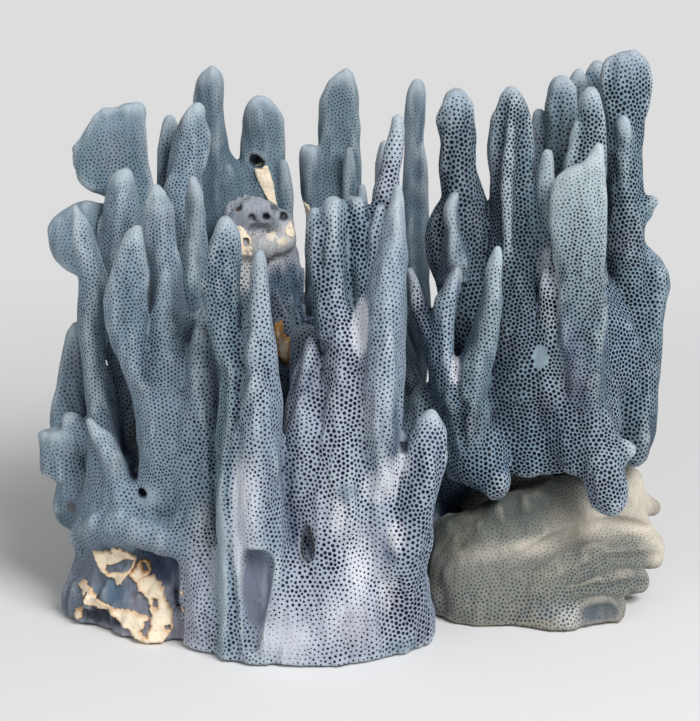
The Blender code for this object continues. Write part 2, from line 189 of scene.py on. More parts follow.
rightCluster = {
    "great_blade": dict(tone="blue", tip="steel", pore=0.52, pitch=1.4, tipFade=14, spine=[
        (77, -4, 42, 5, 9), (78, -1, 52, 6.6, 11), (79, 2, 66, 7.2, 11), (79, 6, 84, 7, 9),
        (77, 9, 99, 5.6, 8), (76.8, 12, 112, 5.1, 6.5), (76.6, 13, 126, 5.2, 5.5), (76.6, 14, 134, 5.6, 5),
        (76.4, 14, 139, 7, 4.6), (76, 15, 146, 8, 4.2), (76, 15, 150.6, 7.2, 3.4),
        (76.2, 15, 153, 4.4, 2)]),
    "great_blade_back": dict(tone="blue", tip="steel", pore=0.36, spine=[
        (70, 9, 60, 4, 5), (70.6, 14, 76, 4.4, 6), (71, 18, 92, 3.9, 6), (71, 22, 110, 2.9, 5),
        (70, 26, 130, 2.8, 4), (70, 28, 143, 3.2, 3), (69.8, 28, 147, 3, 2.8), (70, 28, 150, 1.8, 1.8)]),
    "side_lobe": dict(tone="blue", tip="steel", pore=0.43, pitch=1.4, spine=[
        (79.4, -5, 40, 2.6, 6), (81.4, -4, 48, 4, 9), (82, 0, 62, 3.6, 9), (83, 3, 73, 3.7, 8),
        (84, 5, 84, 4.1, 7), (85, 6, 88, 4.6, 6), (85, 7, 93, 3.7, 5), (84, 8, 96, 2.8, 3.6),
        (83, 8, 99, 1.4, 2)]),
    "ribbed_blade": dict(tone="deep", tip="steel", pore=0.56, pitch=1.35, spine=[
        (46, -6, 44, 8, 9), (46, -9, 62, 9.4, 11), (45, -8, 82, 9.6, 10), (45, -6, 90, 8.8, 9),
        (44, -3, 103, 7.1, 7), (44, -1, 114, 5.9, 5.5), (44, 0, 128, 5.3, 4.5), (43, 1, 131, 5.7, 4),
        (43, 1, 136, 5.1, 4), (43, 0, 141, 3.5, 3.4), (43, 0, 145, 1.4, 2)]),
    "knob_finger": dict(tone="deep", tip="steel", tipFade=14, pore=0.55, pitch=1.4, spine=[
        (35, -2, 48, 6, 8), (34, -2, 66, 7.6, 9), (33, -2, 78, 8, 9.6), (31, 0, 91, 8, 9),
        (29, 0, 98, 9, 8), (29, 0, 104, 9.3, 7.5), (29, 0, 109, 8, 7), (30, 0, 115, 6, 6),
        (28, 0, 124, 5.1, 5.5), (28, 0, 131, 5.4, 5), (27, 0, 137, 5.5, 5), (28, 0, 142, 4.2, 4.3),
        (28, 0, 145, 2.3, 2.6)]),
    "knob_thorn": dict(tone="slate", tip="steel", pore=0.32, spine=[
        (28, -7, 92, 4.4, 5), (28, -8, 98, 4, 5), (27, -9, 107, 1.9, 3), (26, -9, 114, 1.5, 2),
        (27, -9, 117, 0.8, 1.2)]),
    "pale_blade": dict(tone="deep", tip="palest", pore=0.41, pitch=1.2, tipFade=60, spine=[
        (67, -12, 40, 4, 6), (66, -16, 52, 4.8, 7), (64.6, -18, 62, 4.8, 6.5), (64, -19, 70, 5, 6.5),
        (63.3, -19, 82, 5.3, 6), (62.2, -19, 90, 6.2, 5.5), (61.2, -18.5, 104, 7.2, 4.8),
        (60.6, -18, 112, 7.8, 4.2), (60.4, -17, 118, 8, 3.8), (60.8, -16.5, 122, 7.4, 3.2),
        (61.8, -16, 125, 6.2, 2.8), (64.2, -16, 126.8, 3.6, 2.4), (65.2, -15.5, 129, 2.3, 2),
        (65.8, -15, 132, 1.2, 1.5)]),
    "mid_finger": dict(tone="blue", tip="steel", pore=0.48, pitch=1.35, spine=[
        (64, -6, 92, 6.5, 7), (64, -6, 107, 5.7, 6), (64, -3, 123, 4.7, 4.5), (65, -1, 131, 3.7, 3.8),
        (65, 0, 137, 3.7, 3.6), (65, 0, 142, 3, 3), (65, 0, 145, 1.4, 1.8)]),
    "mid_spine": dict(tone="ice", tip="ice", pore=0.28, spine=[
        (60, -4, 110, 4, 4), (60, -4, 120, 3, 3), (60, -2, 127, 1.9, 2.4), (61, -1, 133, 1.2, 1.8),
        (61, -1, 136, 0.6, 1)]),
    "rear_paddle": dict(tone="blue", tip="steel", pore=0.36, spine=[
        (57, 3, 84, 6, 7), (57, 6, 96, 4.3, 6), (58, 10, 112, 3.8, 5), (58, 12, 126, 4.1, 4),
        (58, 12, 138, 4.7, 3.8), (58, 12, 144, 4, 3.4), (58, 12, 147, 1.8, 2)]),
    "rear_spur": dict(tone="slate", tip="steel", pore=0.32, spine=[
        (64, 7, 56, 5, 6), (64.6, 10, 70, 6, 7), (65, 13, 83, 5.8, 7), (65, 20, 99, 4.4, 6),
        (65, 24, 121, 2.9, 4), (65, 25, 136, 2.9, 3), (64, 25, 144, 2.7, 2.6), (64, 25, 147, 1.1, 1.4)]),
    "hanging_leaf": dict(tone="steel", tip="steel", pore=0.3, spine=[
        (54.6, 14, 110, 1.6, 1.8), (53, 15, 116, 2.8, 2.6), (52.6, 15, 126, 3.1, 2.8),
        (52.4, 15, 133, 2.7, 2.6), (52.2, 15, 137, 1.6, 1.8)]),
    "rib_tip": dict(tone="blue", tip="steel", pore=0.36, spine=[
        (76, 10, 112, 2, 2.4), (76, 8.6, 120, 2, 2.2), (75.8, 7.8, 128, 2, 2), (75.4, 7, 131.6, 2.3, 2.1),
        (75.2, 7, 134.2, 2, 1.9), (75.2, 7, 135.8, 1.2, 1.2)]),
    "thin_spine": dict(tone="blue", tip="ice", pore=0.3, spine=[
        (57, -9, 92, 3, 4), (55.4, -9, 102, 2.6, 3.5), (53.8, -8, 111, 2.8, 3.2),
        (52.8, -7.4, 117, 2.3, 2.6), (52.6, -7, 123, 1.8, 2.1), (53, -6.6, 128, 1.7, 1.9),
        (53.5, -6, 131.4, 1.4, 1.6), (53.8, -6, 134.4, 0.8, 0.9)]),
    "slim_finger": dict(tone="blue", tip="ice", pore=0.36, pitch=1.3, spine=[
        (35, -12, 36, 4, 6), (33, -15, 48, 5, 8), (32, -18, 63, 4.4, 8), (33, -21, 73, 4.2, 7),
        (35, -23, 81, 3.6, 5.4), (37, -26, 94, 2.5, 3.5), (37, -26, 99, 2.2, 3), (37.6, -26, 103, 1.6, 2.2),
        (38, -26, 106.4, 0.7, 1)]),
    "fork_right": dict(tone="web", tip="steel", pore=0.41, pitch=1.3, spine=[
        (26, -16, 62, 4, 7), (24, -17, 74, 3.2, 7), (24, -17, 82, 3, 5), (25, -18, 90, 3, 3.5),
        (27, -19, 96, 2.2, 2.8), (28, -20, 101, 1, 1.4)]),
    "fork_left": dict(tone="web", tip="steel", pore=0.43, pitch=1.3, spine=[
        (31, -11, 38, 4, 6), (29, -14, 50, 4.4, 8), (26, -16, 63, 2.8, 8), (23, -15, 72, 3.1, 7),
        (20, -14, 82, 2.5, 4.5), (17, -13, 89, 2.4, 3.5), (16, -12, 94, 1.7, 3), (15, -12, 97, 1, 1.6)]),
}

leftCluster = {
    "left_leaf": dict(tone="leftBlue", tip="ice", pore=0.27, pitch=1.15, spine=[
        (-60, -2, 58, 8, 8), (-63, -5, 74, 7.5, 8), (-65, -5, 87, 7, 7), (-65, -2, 103, 5.9, 5.5),
        (-65, 0, 114, 5.3, 4.4), (-65, 0, 120, 3.9, 3.4), (-64, 0, 123, 1.4, 2)]),
    "broad_leaf": dict(tone="leftBlue", tip="ice", pore=0.28, pitch=1.15, spine=[
        (-48, 8, 86, 8, 8), (-49, 8, 104, 6.4, 7), (-49, 15, 118, 5.1, 4.8), (-47, 17, 124, 6, 4.4),
        (-46, 18, 130, 4.9, 4), (-46, 18, 134, 3.6, 3.6), (-45, 18, 137, 2.6, 3),
        (-45, 18, 139, 1.1, 1.8)]),
    "fan_blade": dict(tone="blue", tip="leftBlue", pore=0.24, pitch=1.2, tipFade=16, spine=[
        (-59, 1, 70, 4, 5), (-60, 3, 84, 5.6, 6.6), (-62, 6, 104, 5.6, 5), (-62.6, 8, 111, 5.6, 4.2),
        (-63.8, 8, 113.8, 6.8, 4), (-66.8, 8, 115.6, 9.6, 4), (-68.2, 9, 118, 11, 3.8),
        (-69.4, 10, 123, 11.3, 3.6), (-69.2, 10, 127.6, 10.9, 3.4), (-68, 10, 131.4, 9.2, 3.1),
        (-66.6, 10, 134.6, 7.2, 2.8), (-65.8, 10, 137.4, 6.4, 2.6), (-65.6, 10, 139, 6, 2.2)]),
    "round_lobe": dict(tone="leftBlue", tip="leftBlue", pore=0.2, pitch=1.2, spine=[
        (-66, -1, 74, 3, 4), (-68, 0, 83, 3.8, 4.8), (-71, 1, 89, 4.4, 5), (-74.4, 2, 92.6, 5, 3.8),
        (-77, 3, 95, 6.9, 3.6), (-78, 4, 100, 7.8, 4), (-78.6, 5, 105, 8.3, 3.8),
        (-77.4, 5, 108.4, 7.8, 3.6), (-75.4, 5, 111, 6, 3), (-74, 5, 112.8, 3, 2)]),
    "left_pillar": dict(tone="leftBlue", tip="ice", pore=0.29, pitch=1.15, spine=[
        (-68, -18, 10, 8, 11), (-69, -18, 28, 6.4, 10), (-69, -18, 41, 5.6, 9), (-71, -16, 55, 4.3, 7),
        (-72, -14, 70, 3.5, 5.5), (-73, -14, 81, 3.3, 5), (-72, -13, 94, 4.1, 4.5),
        (-74, -13, 102, 3.3, 3.6), (-76, -12, 109, 2.4, 2.8), (-77, -12, 115, 0.8, 1.4)]),
    "nib_leaf": dict(tone="leftBlue", tip="ice", pore=0.28, pitch=1.15, spine=[
        (-53, -20, 30, 6, 12), (-53, -24, 44, 5.8, 10.5), (-54, -26, 58, 5.2, 8), (-57.5, -28, 70, 4.8, 7),
        (-61, -28, 80, 5.1, 5), (-62, -28, 85, 5.8, 4.6), (-62, -28, 92, 5.8, 4.4),
        (-60, -28, 103, 4.3, 3.6), (-59, -28, 109, 2.8, 2.8), (-58, -28, 112, 1.4, 1.8),
        (-58, -28, 115, 0.7, 1)]),
    "twin_leaf": dict(tone="leftBlue", tip="ice", pore=0.27, pitch=1.15, spine=[
        (-50, -22, 32, 8, 10), (-50, -24, 46, 7.6, 11), (-51, -25, 62, 7.4, 10), (-52, -24, 77, 6.3, 9),
        (-52, -21, 90, 4.8, 6), (-52, -19, 100, 4.9, 4.8), (-53, -18, 108, 4.6, 4),
        (-53, -18, 115, 3.8, 3.5), (-54, -18, 118, 2.5, 2.8), (-54, -18, 121, 1.1, 1.6)]),
    "small_leaf": dict(tone="blue", tip="steel", pore=0.28, spine=[
        (-47, -10, 86, 5, 6), (-46, -8, 99, 3.1, 4), (-45, -6, 105, 1.9, 2.6), (-45, -5, 111, 2.4, 2.6),
        (-45, -5, 117, 2.1, 2.4), (-45, -5, 121, 1, 1.4)]),
    "hidden_finger": dict(tone="slate", tip="steel", pore=0.28, spine=[
        (-47, 16, 50, 4, 5), (-50, 18, 74, 5, 6), (-52, 20.6, 94, 4.8, 5.8), (-53.4, 25, 115, 4, 4),
        (-54.4, 27, 124, 3.5, 3), (-54, 28, 131, 2.9, 2.6), (-53.8, 28, 134, 1.6, 1.6)]),
    "outer_finger": dict(tone="leftBlue", tip="ice", pore=0.26, spine=[
        (-81, -5, 43, 4.6, 6), (-81.6, -2, 49, 5, 5), (-81, 0, 59, 5, 4), (-80, 0, 67, 4.6, 3.4),
        (-79, 0, 73, 3.3, 3), (-79, 0, 76, 2.3, 2.4), (-79, 0, 78, 1, 1.4)]),
    "outer_block": dict(tone="leftBlue", tip="ice", pore=0.32, spine=[
        (-82.2, -12, 37.2, 7, 4.6), (-82.4, -12, 42, 7.4, 4.8), (-82.4, -12, 50.2, 7.4, 4.8)]),
    "outer_knob": dict(tone="slate", tip="leftBlue", pore=0.22, spine=[
        (-78.8, -11, 20.6, 2.6, 3), (-79.4, -12, 22.4, 4.2, 4.4), (-80, -12, 25, 5.6, 5.2),
        (-80.4, -12.4, 28.6, 6.2, 5.8), (-80, -12, 32, 5.8, 5.4), (-79.2, -12, 35, 4.6, 4.8),
        (-78.4, -11, 37.8, 3, 4)]),
}

rearRow = {
    "tall_finger": dict(tone="slate", tip="steel", pore=0.2, pitch=1.2, spine=[
        (-43, 27, 34, 5, 7), (-42, 30, 56, 8, 8.4), (-41, 32, 72, 11, 9.6), (-40, 34.6, 90, 11.6, 9.2),
        (-40, 40, 107, 9, 7), (-41, 42, 118, 6.2, 5), (-42, 42, 121, 4.8, 4.5), (-43, 42, 136, 4.3, 3.6),
        (-43, 42, 142, 3.6, 3.2), (-42, 42, 146, 1.2, 1.6)]),
    "spoon_blade": dict(tone="rearBlue", tip="steel", pore=0.2, pitch=1.2, spine=[
        (-26, 26, 34, 5, 8), (-27.6, 30, 56, 7, 8.4), (-29, 35, 78, 9, 8), (-29, 40, 97, 8.2, 7),
        (-29, 43, 112, 7, 5), (-28, 44, 118, 6.4, 4), (-28, 45, 124, 6.8, 3.6), (-28, 45, 130, 6.6, 3.4),
        (-28, 45, 134, 5.2, 3), (-28, 45, 137, 2.4, 2)]),
    "spoon_thorn": dict(tone="slate", tip="slate", pore=0.24, spine=[
        (-20, 29, 58, 3.6, 5), (-20.6, 34, 74, 4.4, 5.4), (-21, 38, 95, 3, 4), (-21, 40, 104, 2.2, 2.8),
        (-21, 40, 115, 1.7, 2), (-21, 40, 118, 0.7, 1)]),
    "rear_tower": dict(tone="rearBlue", tip="steel", pore=0.23, pitch=1.2, spine=[
        (-2, 24, 20, 6, 8), (-3, 27, 42, 9, 9), (-4, 31, 60, 10.6, 9.6), (-5, 36, 77, 9.8, 9),
        (-5, 44, 97, 6.9, 7), (-5, 48, 110, 6.3, 5), (-5, 50, 127, 6.3, 4.2), (-5, 50, 135, 5.7, 3.8),
        (-4, 50, 141, 3.6, 3.2), (-3, 50, 144, 1.2, 1.6)]),
    "tower_step": dict(tone="slate", tip="steel", pore=0.2, pitch=1.2, spine=[
        (-9, 38, 74, 3.6, 5), (-11, 42, 90, 4, 5), (-12, 44, 103, 3, 4), (-13, 46, 110, 3, 3.5),
        (-14, 47, 120, 3, 2.8), (-14, 47, 122, 2.4, 2)]),
    "tower_rib": dict(tone="slate", tip="steel", pore=0.24, spine=[
        (-2, 43, 98, 3, 4), (-2, 41, 106, 2.7, 3), (-2, 41, 115, 2.1, 2.6), (-2, 40, 123, 1.5, 2),
        (-2, 40, 128, 0.7, 1)]),
    "tower_thorn": dict(tone="slate", tip="steel", pore=0.24, spine=[
        (3, 34, 78, 4, 5), (2, 38, 98, 2.2, 3), (2, 40, 108, 1.6, 2.2), (2, 40, 111, 0.9, 1.2)]),
    "rear_blade": dict(tone="slate", tip="steel", pore=0.19, pitch=1.2, spine=[
        (13, 21, 18, 4, 6), (14, 26, 38, 5.4, 7.6), (15.6, 33, 60, 4.6, 7.4), (17, 42, 88, 3, 5),
        (17, 46, 105, 3.2, 4), (17.2, 47, 117, 3.2, 3.6), (17.8, 48, 130, 2.8, 3.2),
        (18.3, 48, 137, 2.2, 2.6), (18.8, 48, 141, 1, 1.4)]),
    "rear_thorn": dict(tone="slate", tip="slate", pore=0.18, pitch=1.2, spine=[
        (16, 27, 36, 3, 4), (17.6, 33, 56, 3.6, 5), (20, 42, 88, 2, 3), (20, 45, 106, 2, 2.6),
        (20, 46, 120, 1.6, 2), (20, 46, 123, 0.7, 1)]),
}

# Small limbs that belong to a bigger piece: spines as above, or chains of round cones, (x, y, z, radius).
addedLobes = [
    ("front_leaf", dict(tone="leftBlue", pore=0.32, spine=[
        (-42, -33, 6, 6, 9), (-42, -33.6, 36, 6, 9), (-42, -32, 46, 6, 8.4), (-42, -31.4, 58, 6, 8),
        (-41, -30, 74, 5, 7), (-40, -28, 86, 3, 4), (-39.6, -27, 92, 0.8, 1.2)])),
    ("comb_middle", dict(tone="trunk", pore=0.36, pitch=1.45, spine=[
        (-14.6, -41, 16, 6.4, 12), (-14.8, -42, 38, 6.4, 9), (-14.4, -40, 60, 5.6, 8),
        (-12.6, -36, 76, 3.2, 5), (-11.6, -34.6, 83, 0.8, 1.4)])),
    ("thumb", dict(tone="lilac", pore=0.3, pitch=1.5, lobe=[(7, -48, 38, 5), (8.4, -49.4, 25, 5.2)])),
    ("left_mass", dict(tone="leftBlue", pore=0.3, spine=[
        (-62, -8, 24, 8, 8), (-62, -7, 50, 7, 6.5), (-62, -5, 72, 4, 4.4), (-62, -4, 79, 0.8, 1.2)])),
    ("pale_lobe", dict(tone="lobe", pore=0.2, pitch=1.3, lobe=[
        (32, -19, 11, 11), (49, -13.5, 17, 11), (66, -4.5, 22, 9.6), (78, 0.5, 25, 7.4),
        (86.4, 2, 22.6, 2.4)])),
    ("pale_lobe", dict(tone="lobe", pore=0.2, pitch=1.3, lobe=[
        (28, -15.6, 18.6, 6.6), (41.4, -15, 24.8, 6.6), (56.7, -9.4, 28.6, 6.4), (72, -0.8, 31, 5.6),
        (79, 2, 32, 4)])),
    ("pale_lobe", dict(tone="lobe", pore=0.26, pitch=1.3, lobe=[
        (34, -25, 4, 7.2), (52, -23, 8.4, 6.9), (66, -15.6, 12.2, 6.5), (78, -8.4, 12.6, 5.6),
        (84.6, -6, 11.4, 4.4)])),
    ("pale_lobe", dict(tone="lobe", pore=0.32, pitch=1.3, lobe=[
        (54, -28, 5, 5), (67, -23, 7.4, 5), (75, -18, 7.8, 4.6), (80.6, -14.5, 6.4, 3.2)])),
    ("pale_lobe", dict(tone="bone", pore=0.1, lobe=[
        (75, -4, 21, 5), (80.6, -3, 19.6, 4.5), (83.8, -4.6, 14.6, 4.2)])),
    ("pale_lobe", dict(tone="lobe", pore=0.34, pitch=1.3, lobe=[
        (27, -21, 4, 7), (34, -26, 2.6, 7), (45, -27.5, 1, 5.2), (56, -31.5, 1, 6), (65, -30.5, 2, 5.8),
        (71.4, -27.4, 2.2, 4.8)])),
    ("right_mass", dict(tone="web", pore=0.6, pitch=1.5, lobe=[
        (27, -9, 52, 6), (30, -11, 46, 6.4), (36, -17, 42, 6.6), (39, -21, 38.4, 4.4)])),
    ("right_mass", dict(tone="web", pore=0.5, pitch=1.3, lobe=[(27, 0, 44, 9), (44, 4, 40, 10)])),
    ("right_mass", dict(tone="web", pore=0.4, pitch=1.3, lobe=[(27, 6, 26, 7), (28, 2, 36, 8)])),
    ("rear_middle_mass", dict(tone="steel", pore=0.34, pitch=1.4, lobe=[
        (-13, -16, 48, 6), (-13, -14, 64, 5.2), (-14, -8, 76, 4)])),
    # its pale ice is painted light on a web that lies in shadow behind the thumb
    ("rear_middle_mass", dict(tone="ice", pore=0.34, pitch=1.4, lobe=[
        (20, -12, 46, 5), (19.6, -10, 58, 4.6)])),
    ("sail", dict(tone="steel", pore=0.38, pitch=1.35, lobe=[
        (5.4, -38, 92, 2.6), (5, -37.4, 102, 2.5), (5.6, -36.4, 112, 2), (6.8, -35.6, 118, 1.2)])),
    ("ribbed_blade", dict(tone="deep", pore=0.46, pitch=1.25, lobe=[
        (43.6, -2.2, 143, 1.2), (42.6, -4, 134, 1.7), (42, -5.4, 124, 1.7), (41.9, -7.6, 114, 1.6),
        (41.4, -10.4, 102, 1.2), (41.2, -12.6, 92, 0.5)])),
    ("ribbed_blade", dict(tone="steel", pore=0.24, pitch=1.3, lobe=[
        (40.4, 0, 118, 2.6), (39.6, 0.4, 129, 3), (40.2, 0, 136.6, 2.6)])),
    ("ribbed_blade", dict(tone="blue", pore=0.36, pitch=1.3, lobe=[
        (46.4, -1.4, 136, 1.3), (47.6, -4, 120, 1.8), (49.8, -8, 106, 1.9), (51, -10, 94, 1.6)])),
    ("ribbed_blade", dict(tone="steel", pore=0.5, pitch=1.4, lobe=[
        (53.4, -12, 101, 2.4), (54, -15.6, 90, 3.2), (54.2, -18, 76, 3.7), (54.6, -18, 62, 3.6)])),
    ("pale_blade", dict(tone="violet", pore=0.3, pitch=1.1, lobe=[
        (57.4, -18.8, 92, 1.2), (58, -21, 84.6, 2.3), (59.5, -22.6, 78, 2.7), (61.3, -22.8, 70, 2.5),
        (62.5, -21, 62, 2)])),
    ("mound", dict(tone="mound", pore=0.12, lobe=[
        (-36, 14, 103, 3.4), (-31, 13, 108, 3.4), (-25, 13.6, 108, 3.8)])),
    ("mound", dict(tone="mound", pore=0.12, lobe=[
        (-21.6, 14, 104.4, 4.2), (-21, 12, 100, 4), (-26, 9, 99, 3.4), (-33, 10, 98, 3.6)])),
    ("right_mass", dict(tone="steel", pore=0.5, pitch=1.35, lobe=[
        (66, -18, 54, 7), (67.5, -25, 46, 5.6), (69.5, -27.5, 37.5, 5.3), (69.8, -27.8, 36, 5)])),
    ("right_mass", dict(tone="steel", pore=0.34, pitch=1.3, lobe=[
        (70, -24, 46, 3), (74.6, -26, 49.3, 2.2)])),
    ("right_mass", dict(tone="web", pore=0.56, pitch=1.4, lobe=[
        (58, -16.6, 59, 5), (60, -18.6, 51, 5), (62, -21, 44.4, 4.2)])),
    ("right_mass", dict(tone="web", pore=0.56, pitch=1.4, lobe=[
        (38.4, -12.6, 55, 4.6), (39.2, -14.4, 48, 4.6)])),
    ("great_blade", dict(tone="blue", pore=0.34, lobe=[
        (78, 10, 106.6, 4.2), (81.6, 9, 109.4, 3.6), (84.4, 8.4, 111.8, 2.3)])),
    ("left_mass", dict(tone="leftBlue", pore=0.26, lobe=[
        (-73.4, -25, 57, 1), (-70.4, -26, 53, 1.8), (-67.2, -27, 47, 2.8), (-65, -27, 40, 4.2),
        (-64, -26.6, 34, 5.6)])),
    ("left_mass", dict(tone="leftBlue", pore=0.26, lobe=[(-76, -13, 50, 3.4), (-79.2, -14, 54.4, 2)])),
    # the lip over the broken foot
    ("left_mass", dict(tone="leftBlue", pore=0.28, pitch=1.6, lobe=[
        (-78, -21, 21.6, 2.4), (-74.6, -27, 26.8, 3), (-70, -31.4, 29.6, 3.8), (-64.6, -34.6, 30.6, 4.1),
        (-59.2, -37, 29, 4), (-53.4, -38.2, 27.8, 4), (-48, -39, 27.6, 3.8)])),
    # a lobe in the recess under the lip; its dark slate is painted shade
    ("left_base", dict(tone="slateDark", pore=0.1, lobe=[
        (-50.6, -31.5, 21, 3.2), (-48.6, -33, 16.4, 2.8)])),
    ("left_base", dict(tone="stone", pore=0.1, lobe=[(-56.6, -33.6, 8, 4.4), (-53, -34.6, 10.6, 3.6)])),
    ("left_base", dict(tone="stone", pore=0.1, lobe=[
        (-61, -36, 0.5, 5.4), (-55, -38.6, 1, 6), (-49, -38.6, 1.4, 4.6)])),
]

# Ribs down the back of the big pieces, and the short stubs between them: piece, spine.
backRibs = [
    ("rear_left_mass", [
        (-54, 26, -4, 5, 8), (-53, 27, 30, 5, 8), (-52, 26, 58, 4.4, 7), (-50, 24, 74, 2, 4)]),
    ("rear_left_mass", [
        (-41, 33, -4, 5.6, 8), (-41, 33, 26, 5, 7.8), (-42, 33, 46, 4, 6.4), (-43, 32, 62, 1.6, 3)]),
    ("rear_left_mass", [
        (-25, 34, -4, 6, 7), (-24, 33, 20, 5.4, 7), (-23, 31, 42, 4, 6), (-22, 30, 56, 1.8, 3)]),
    ("rear_left_mass", [
        (-47, 38, 30, 3, 3), (-47.4, 41, 42, 2.8, 3), (-48, 43, 52, 2, 2.2), (-48, 43.6, 57, 0.9, 1)]),
    ("rear_middle_mass", [
        (-4, 36, -4, 6, 6.6), (-5, 35, 16, 5.6, 6.8), (-7, 33.6, 34, 4, 5.6), (-8, 32, 48, 1.6, 3)]),
    ("rear_middle_mass", [
        (10, 34, -4, 5.4, 7), (9.6, 33.4, 22, 5, 7), (8, 31, 40, 3.6, 5.6), (7, 29, 54, 1.6, 3)]),
    ("rear_middle_mass", [
        (3, 38, 22, 3, 3.4), (3.4, 41, 34, 2.8, 3), (4, 43.4, 44, 2, 2.2), (4, 44, 50, 0.9, 1)]),
    ("rear_middle_mass", [
        (21, 19, -4, 4, 7), (21, 19, 20, 4, 7), (19, 17, 38, 3, 5), (18, 15, 50, 1.4, 3)]),
    ("pale_lobe", [(34, 13, -4, 6, 7), (35, 13.4, 14, 5, 7), (37, 13, 32, 3, 4)]),
    ("pale_lobe", [(55, 14.6, -4, 6, 6), (55, 15, 20, 5, 5.6), (56, 15, 38, 2.4, 3)]),
    ("right_mass", [(42, 12, 40, 4, 6), (42, 15, 52, 5.4, 8), (41, 14, 66, 5, 7), (40, 11, 82, 3, 4)]),
    ("right_mass", [(60, 14, 38, 4, 5), (60, 17, 50, 5.4, 6.4), (60, 17, 64, 5, 6), (60, 13, 84, 3, 4)]),
]
for pieceName, spine in backRibs:
    addedLobes.append((pieceName, dict(massPieces[pieceName], spine=spine)))

# What is cut back into the skeleton: the niche in the front, holes and pits.
hollows = [
    # the niche in the front ridge, the oval hole in the trunk, the small holes at the left
    dict(soft=0.4, deep=6.5, lobe=[
        (-27.8, -66.4, 6, 2.4), (-27.6, -66.4, 11, 3), (-26.7, -65.8, 20, 4.3), (-26.1, -65, 27, 4.9)]),
    dict(soft=0.4, deep=6.5, lobe=[(-28.8, -66.2, 12, 1.6), (-28.6, -65, 30, 2.2)]),
    dict(soft=0.4, spine=[
        (-12.6, -60, 27.4, 1.3, 8), (-12.9, -60, 30, 2.4, 10), (-13.4, -60, 33.6, 2.3, 10),
        (-14, -60, 37.4, 1.1, 8)]),
    dict(soft=0.3, lobe=[(-58.3, -42, 38.8, 1.5), (-58.3, -30, 38.8, 1.3)]),
    dict(soft=0.8, lobe=[(-80.4, -20.2, 29.8, 2), (-80, -18.8, 29.6, 1.4)]),
    dict(soft=0.8, lobe=[(64.8, -38, 4.4, 4.8), (71.6, -35, 4, 4.8)]),
    # creases between the folds of the pale lobe
    dict(soft=1.2, lobe=[
        (31, -31.6, 14.3, 1.2), (40.5, -28.8, 16.2, 2), (48, -26.6, 17.6, 2.8), (57.2, -21.8, 20.6, 3.2),
        (65.5, -17.2, 22.4, 3.2), (73.5, -12.2, 22.4, 2.8), (80.5, -8.4, 20.4, 2), (85, -6.4, 19.2, 1.2)]),
    dict(soft=1, lobe=[
        (58, -28.4, 11.8, 1.2), (61.4, -27, 12.6, 2.2), (72.7, -20.6, 15.4, 2.5), (79, -16, 13.6, 2.5),
        (87, -11, 12, 2.2)]),
    dict(soft=1, lobe=[
        (55, -34, 8.8, 1.2), (62.7, -30.6, 10, 2.1), (74, -25.8, 8.8, 2.4), (83, -19, 7, 2.3)]),
    # the valley left of the front ridge, and the groove between trunk and thumb
    dict(soft=1.6, deep=2, lobe=[(-37.8, -56, 44, 1), (-37.6, -54, 54, 1.8), (-37.6, -52, 66, 1.2)]),
    dict(soft=1.5, lobe=[(7.4, -58.4, 34, 2.4), (8.6, -58.4, 27, 3)]),
    dict(soft=2, lobe=[(-4.6, -60, 46, 2.6), (-1.6, -60.4, 41.6, 2.8)]),
    dict(soft=0.5, deep=5, lobe=[(12.2, -50, 70, 1.3), (12.6, -50, 62, 1.3), (12.8, -50, 56, 1)]),
    dict(soft=1.6, deep=4, lobe=[(-61.8, -28, 50, 2), (-61.4, -28, 46, 1.8), (-61, -28, 42.4, 1.2)]),
    dict(soft=1, lobe=[
        (70.6, -18, 92, 1.2), (71.6, -18, 80, 1.9), (72, -19, 66, 2.2), (73, -22.4, 55, 1.6)]),
    # pits in the mound
    dict(soft=0.3, lobe=[(-29.5, 6, 107.1, 1.2), (-29.5, 13, 107.1, 1)]),
    dict(soft=0.3, lobe=[(-25.5, 6, 107.1, 1.2), (-25.5, 13, 107.1, 1)]),
    dict(soft=0.3, lobe=[(-23.4, 6, 110.2, 1.1), (-23.4, 14, 110, 0.9), (-22.6, 14, 108.8, 0.9)]),
    dict(soft=0.3, lobe=[(-20.5, 6, 106.9, 1.2), (-20.5, 14, 106.9, 1)]),
    dict(soft=0.3, lobe=[(-33.4, 6, 109.6, 1.1), (-33.4, 14, 109.6, 0.9)]),
    dict(soft=0.3, lobe=[(-31, 2, 100.4, 1.1), (-31, 9.6, 100.4, 0.9)]),
    # the hole under the top of the spoon blade
    dict(soft=0.6, deep=4, lobe=[(-29.8, 39, 118.2, 1.8), (-28.6, 39, 117.6, 1.5)]),
]


def patch(middle, reach, tone, share, pore=1.0, edge=1.5, lift=0.0):
    # a stretch of skin with a look of its own: middle, reach along x, y and z in mm, the tone it turns to and
    # its share, how the pores grow or shrink, how sharp the border is, and how far the painted hollow shade
    # is lifted; many patches paint light or shade: pale tones on faces in shadow, dark tones in creases and
    # holes
    return dict(middle=middle, reach=reach, tone=tone, share=share, pore=pore, edge=edge, lift=lift)


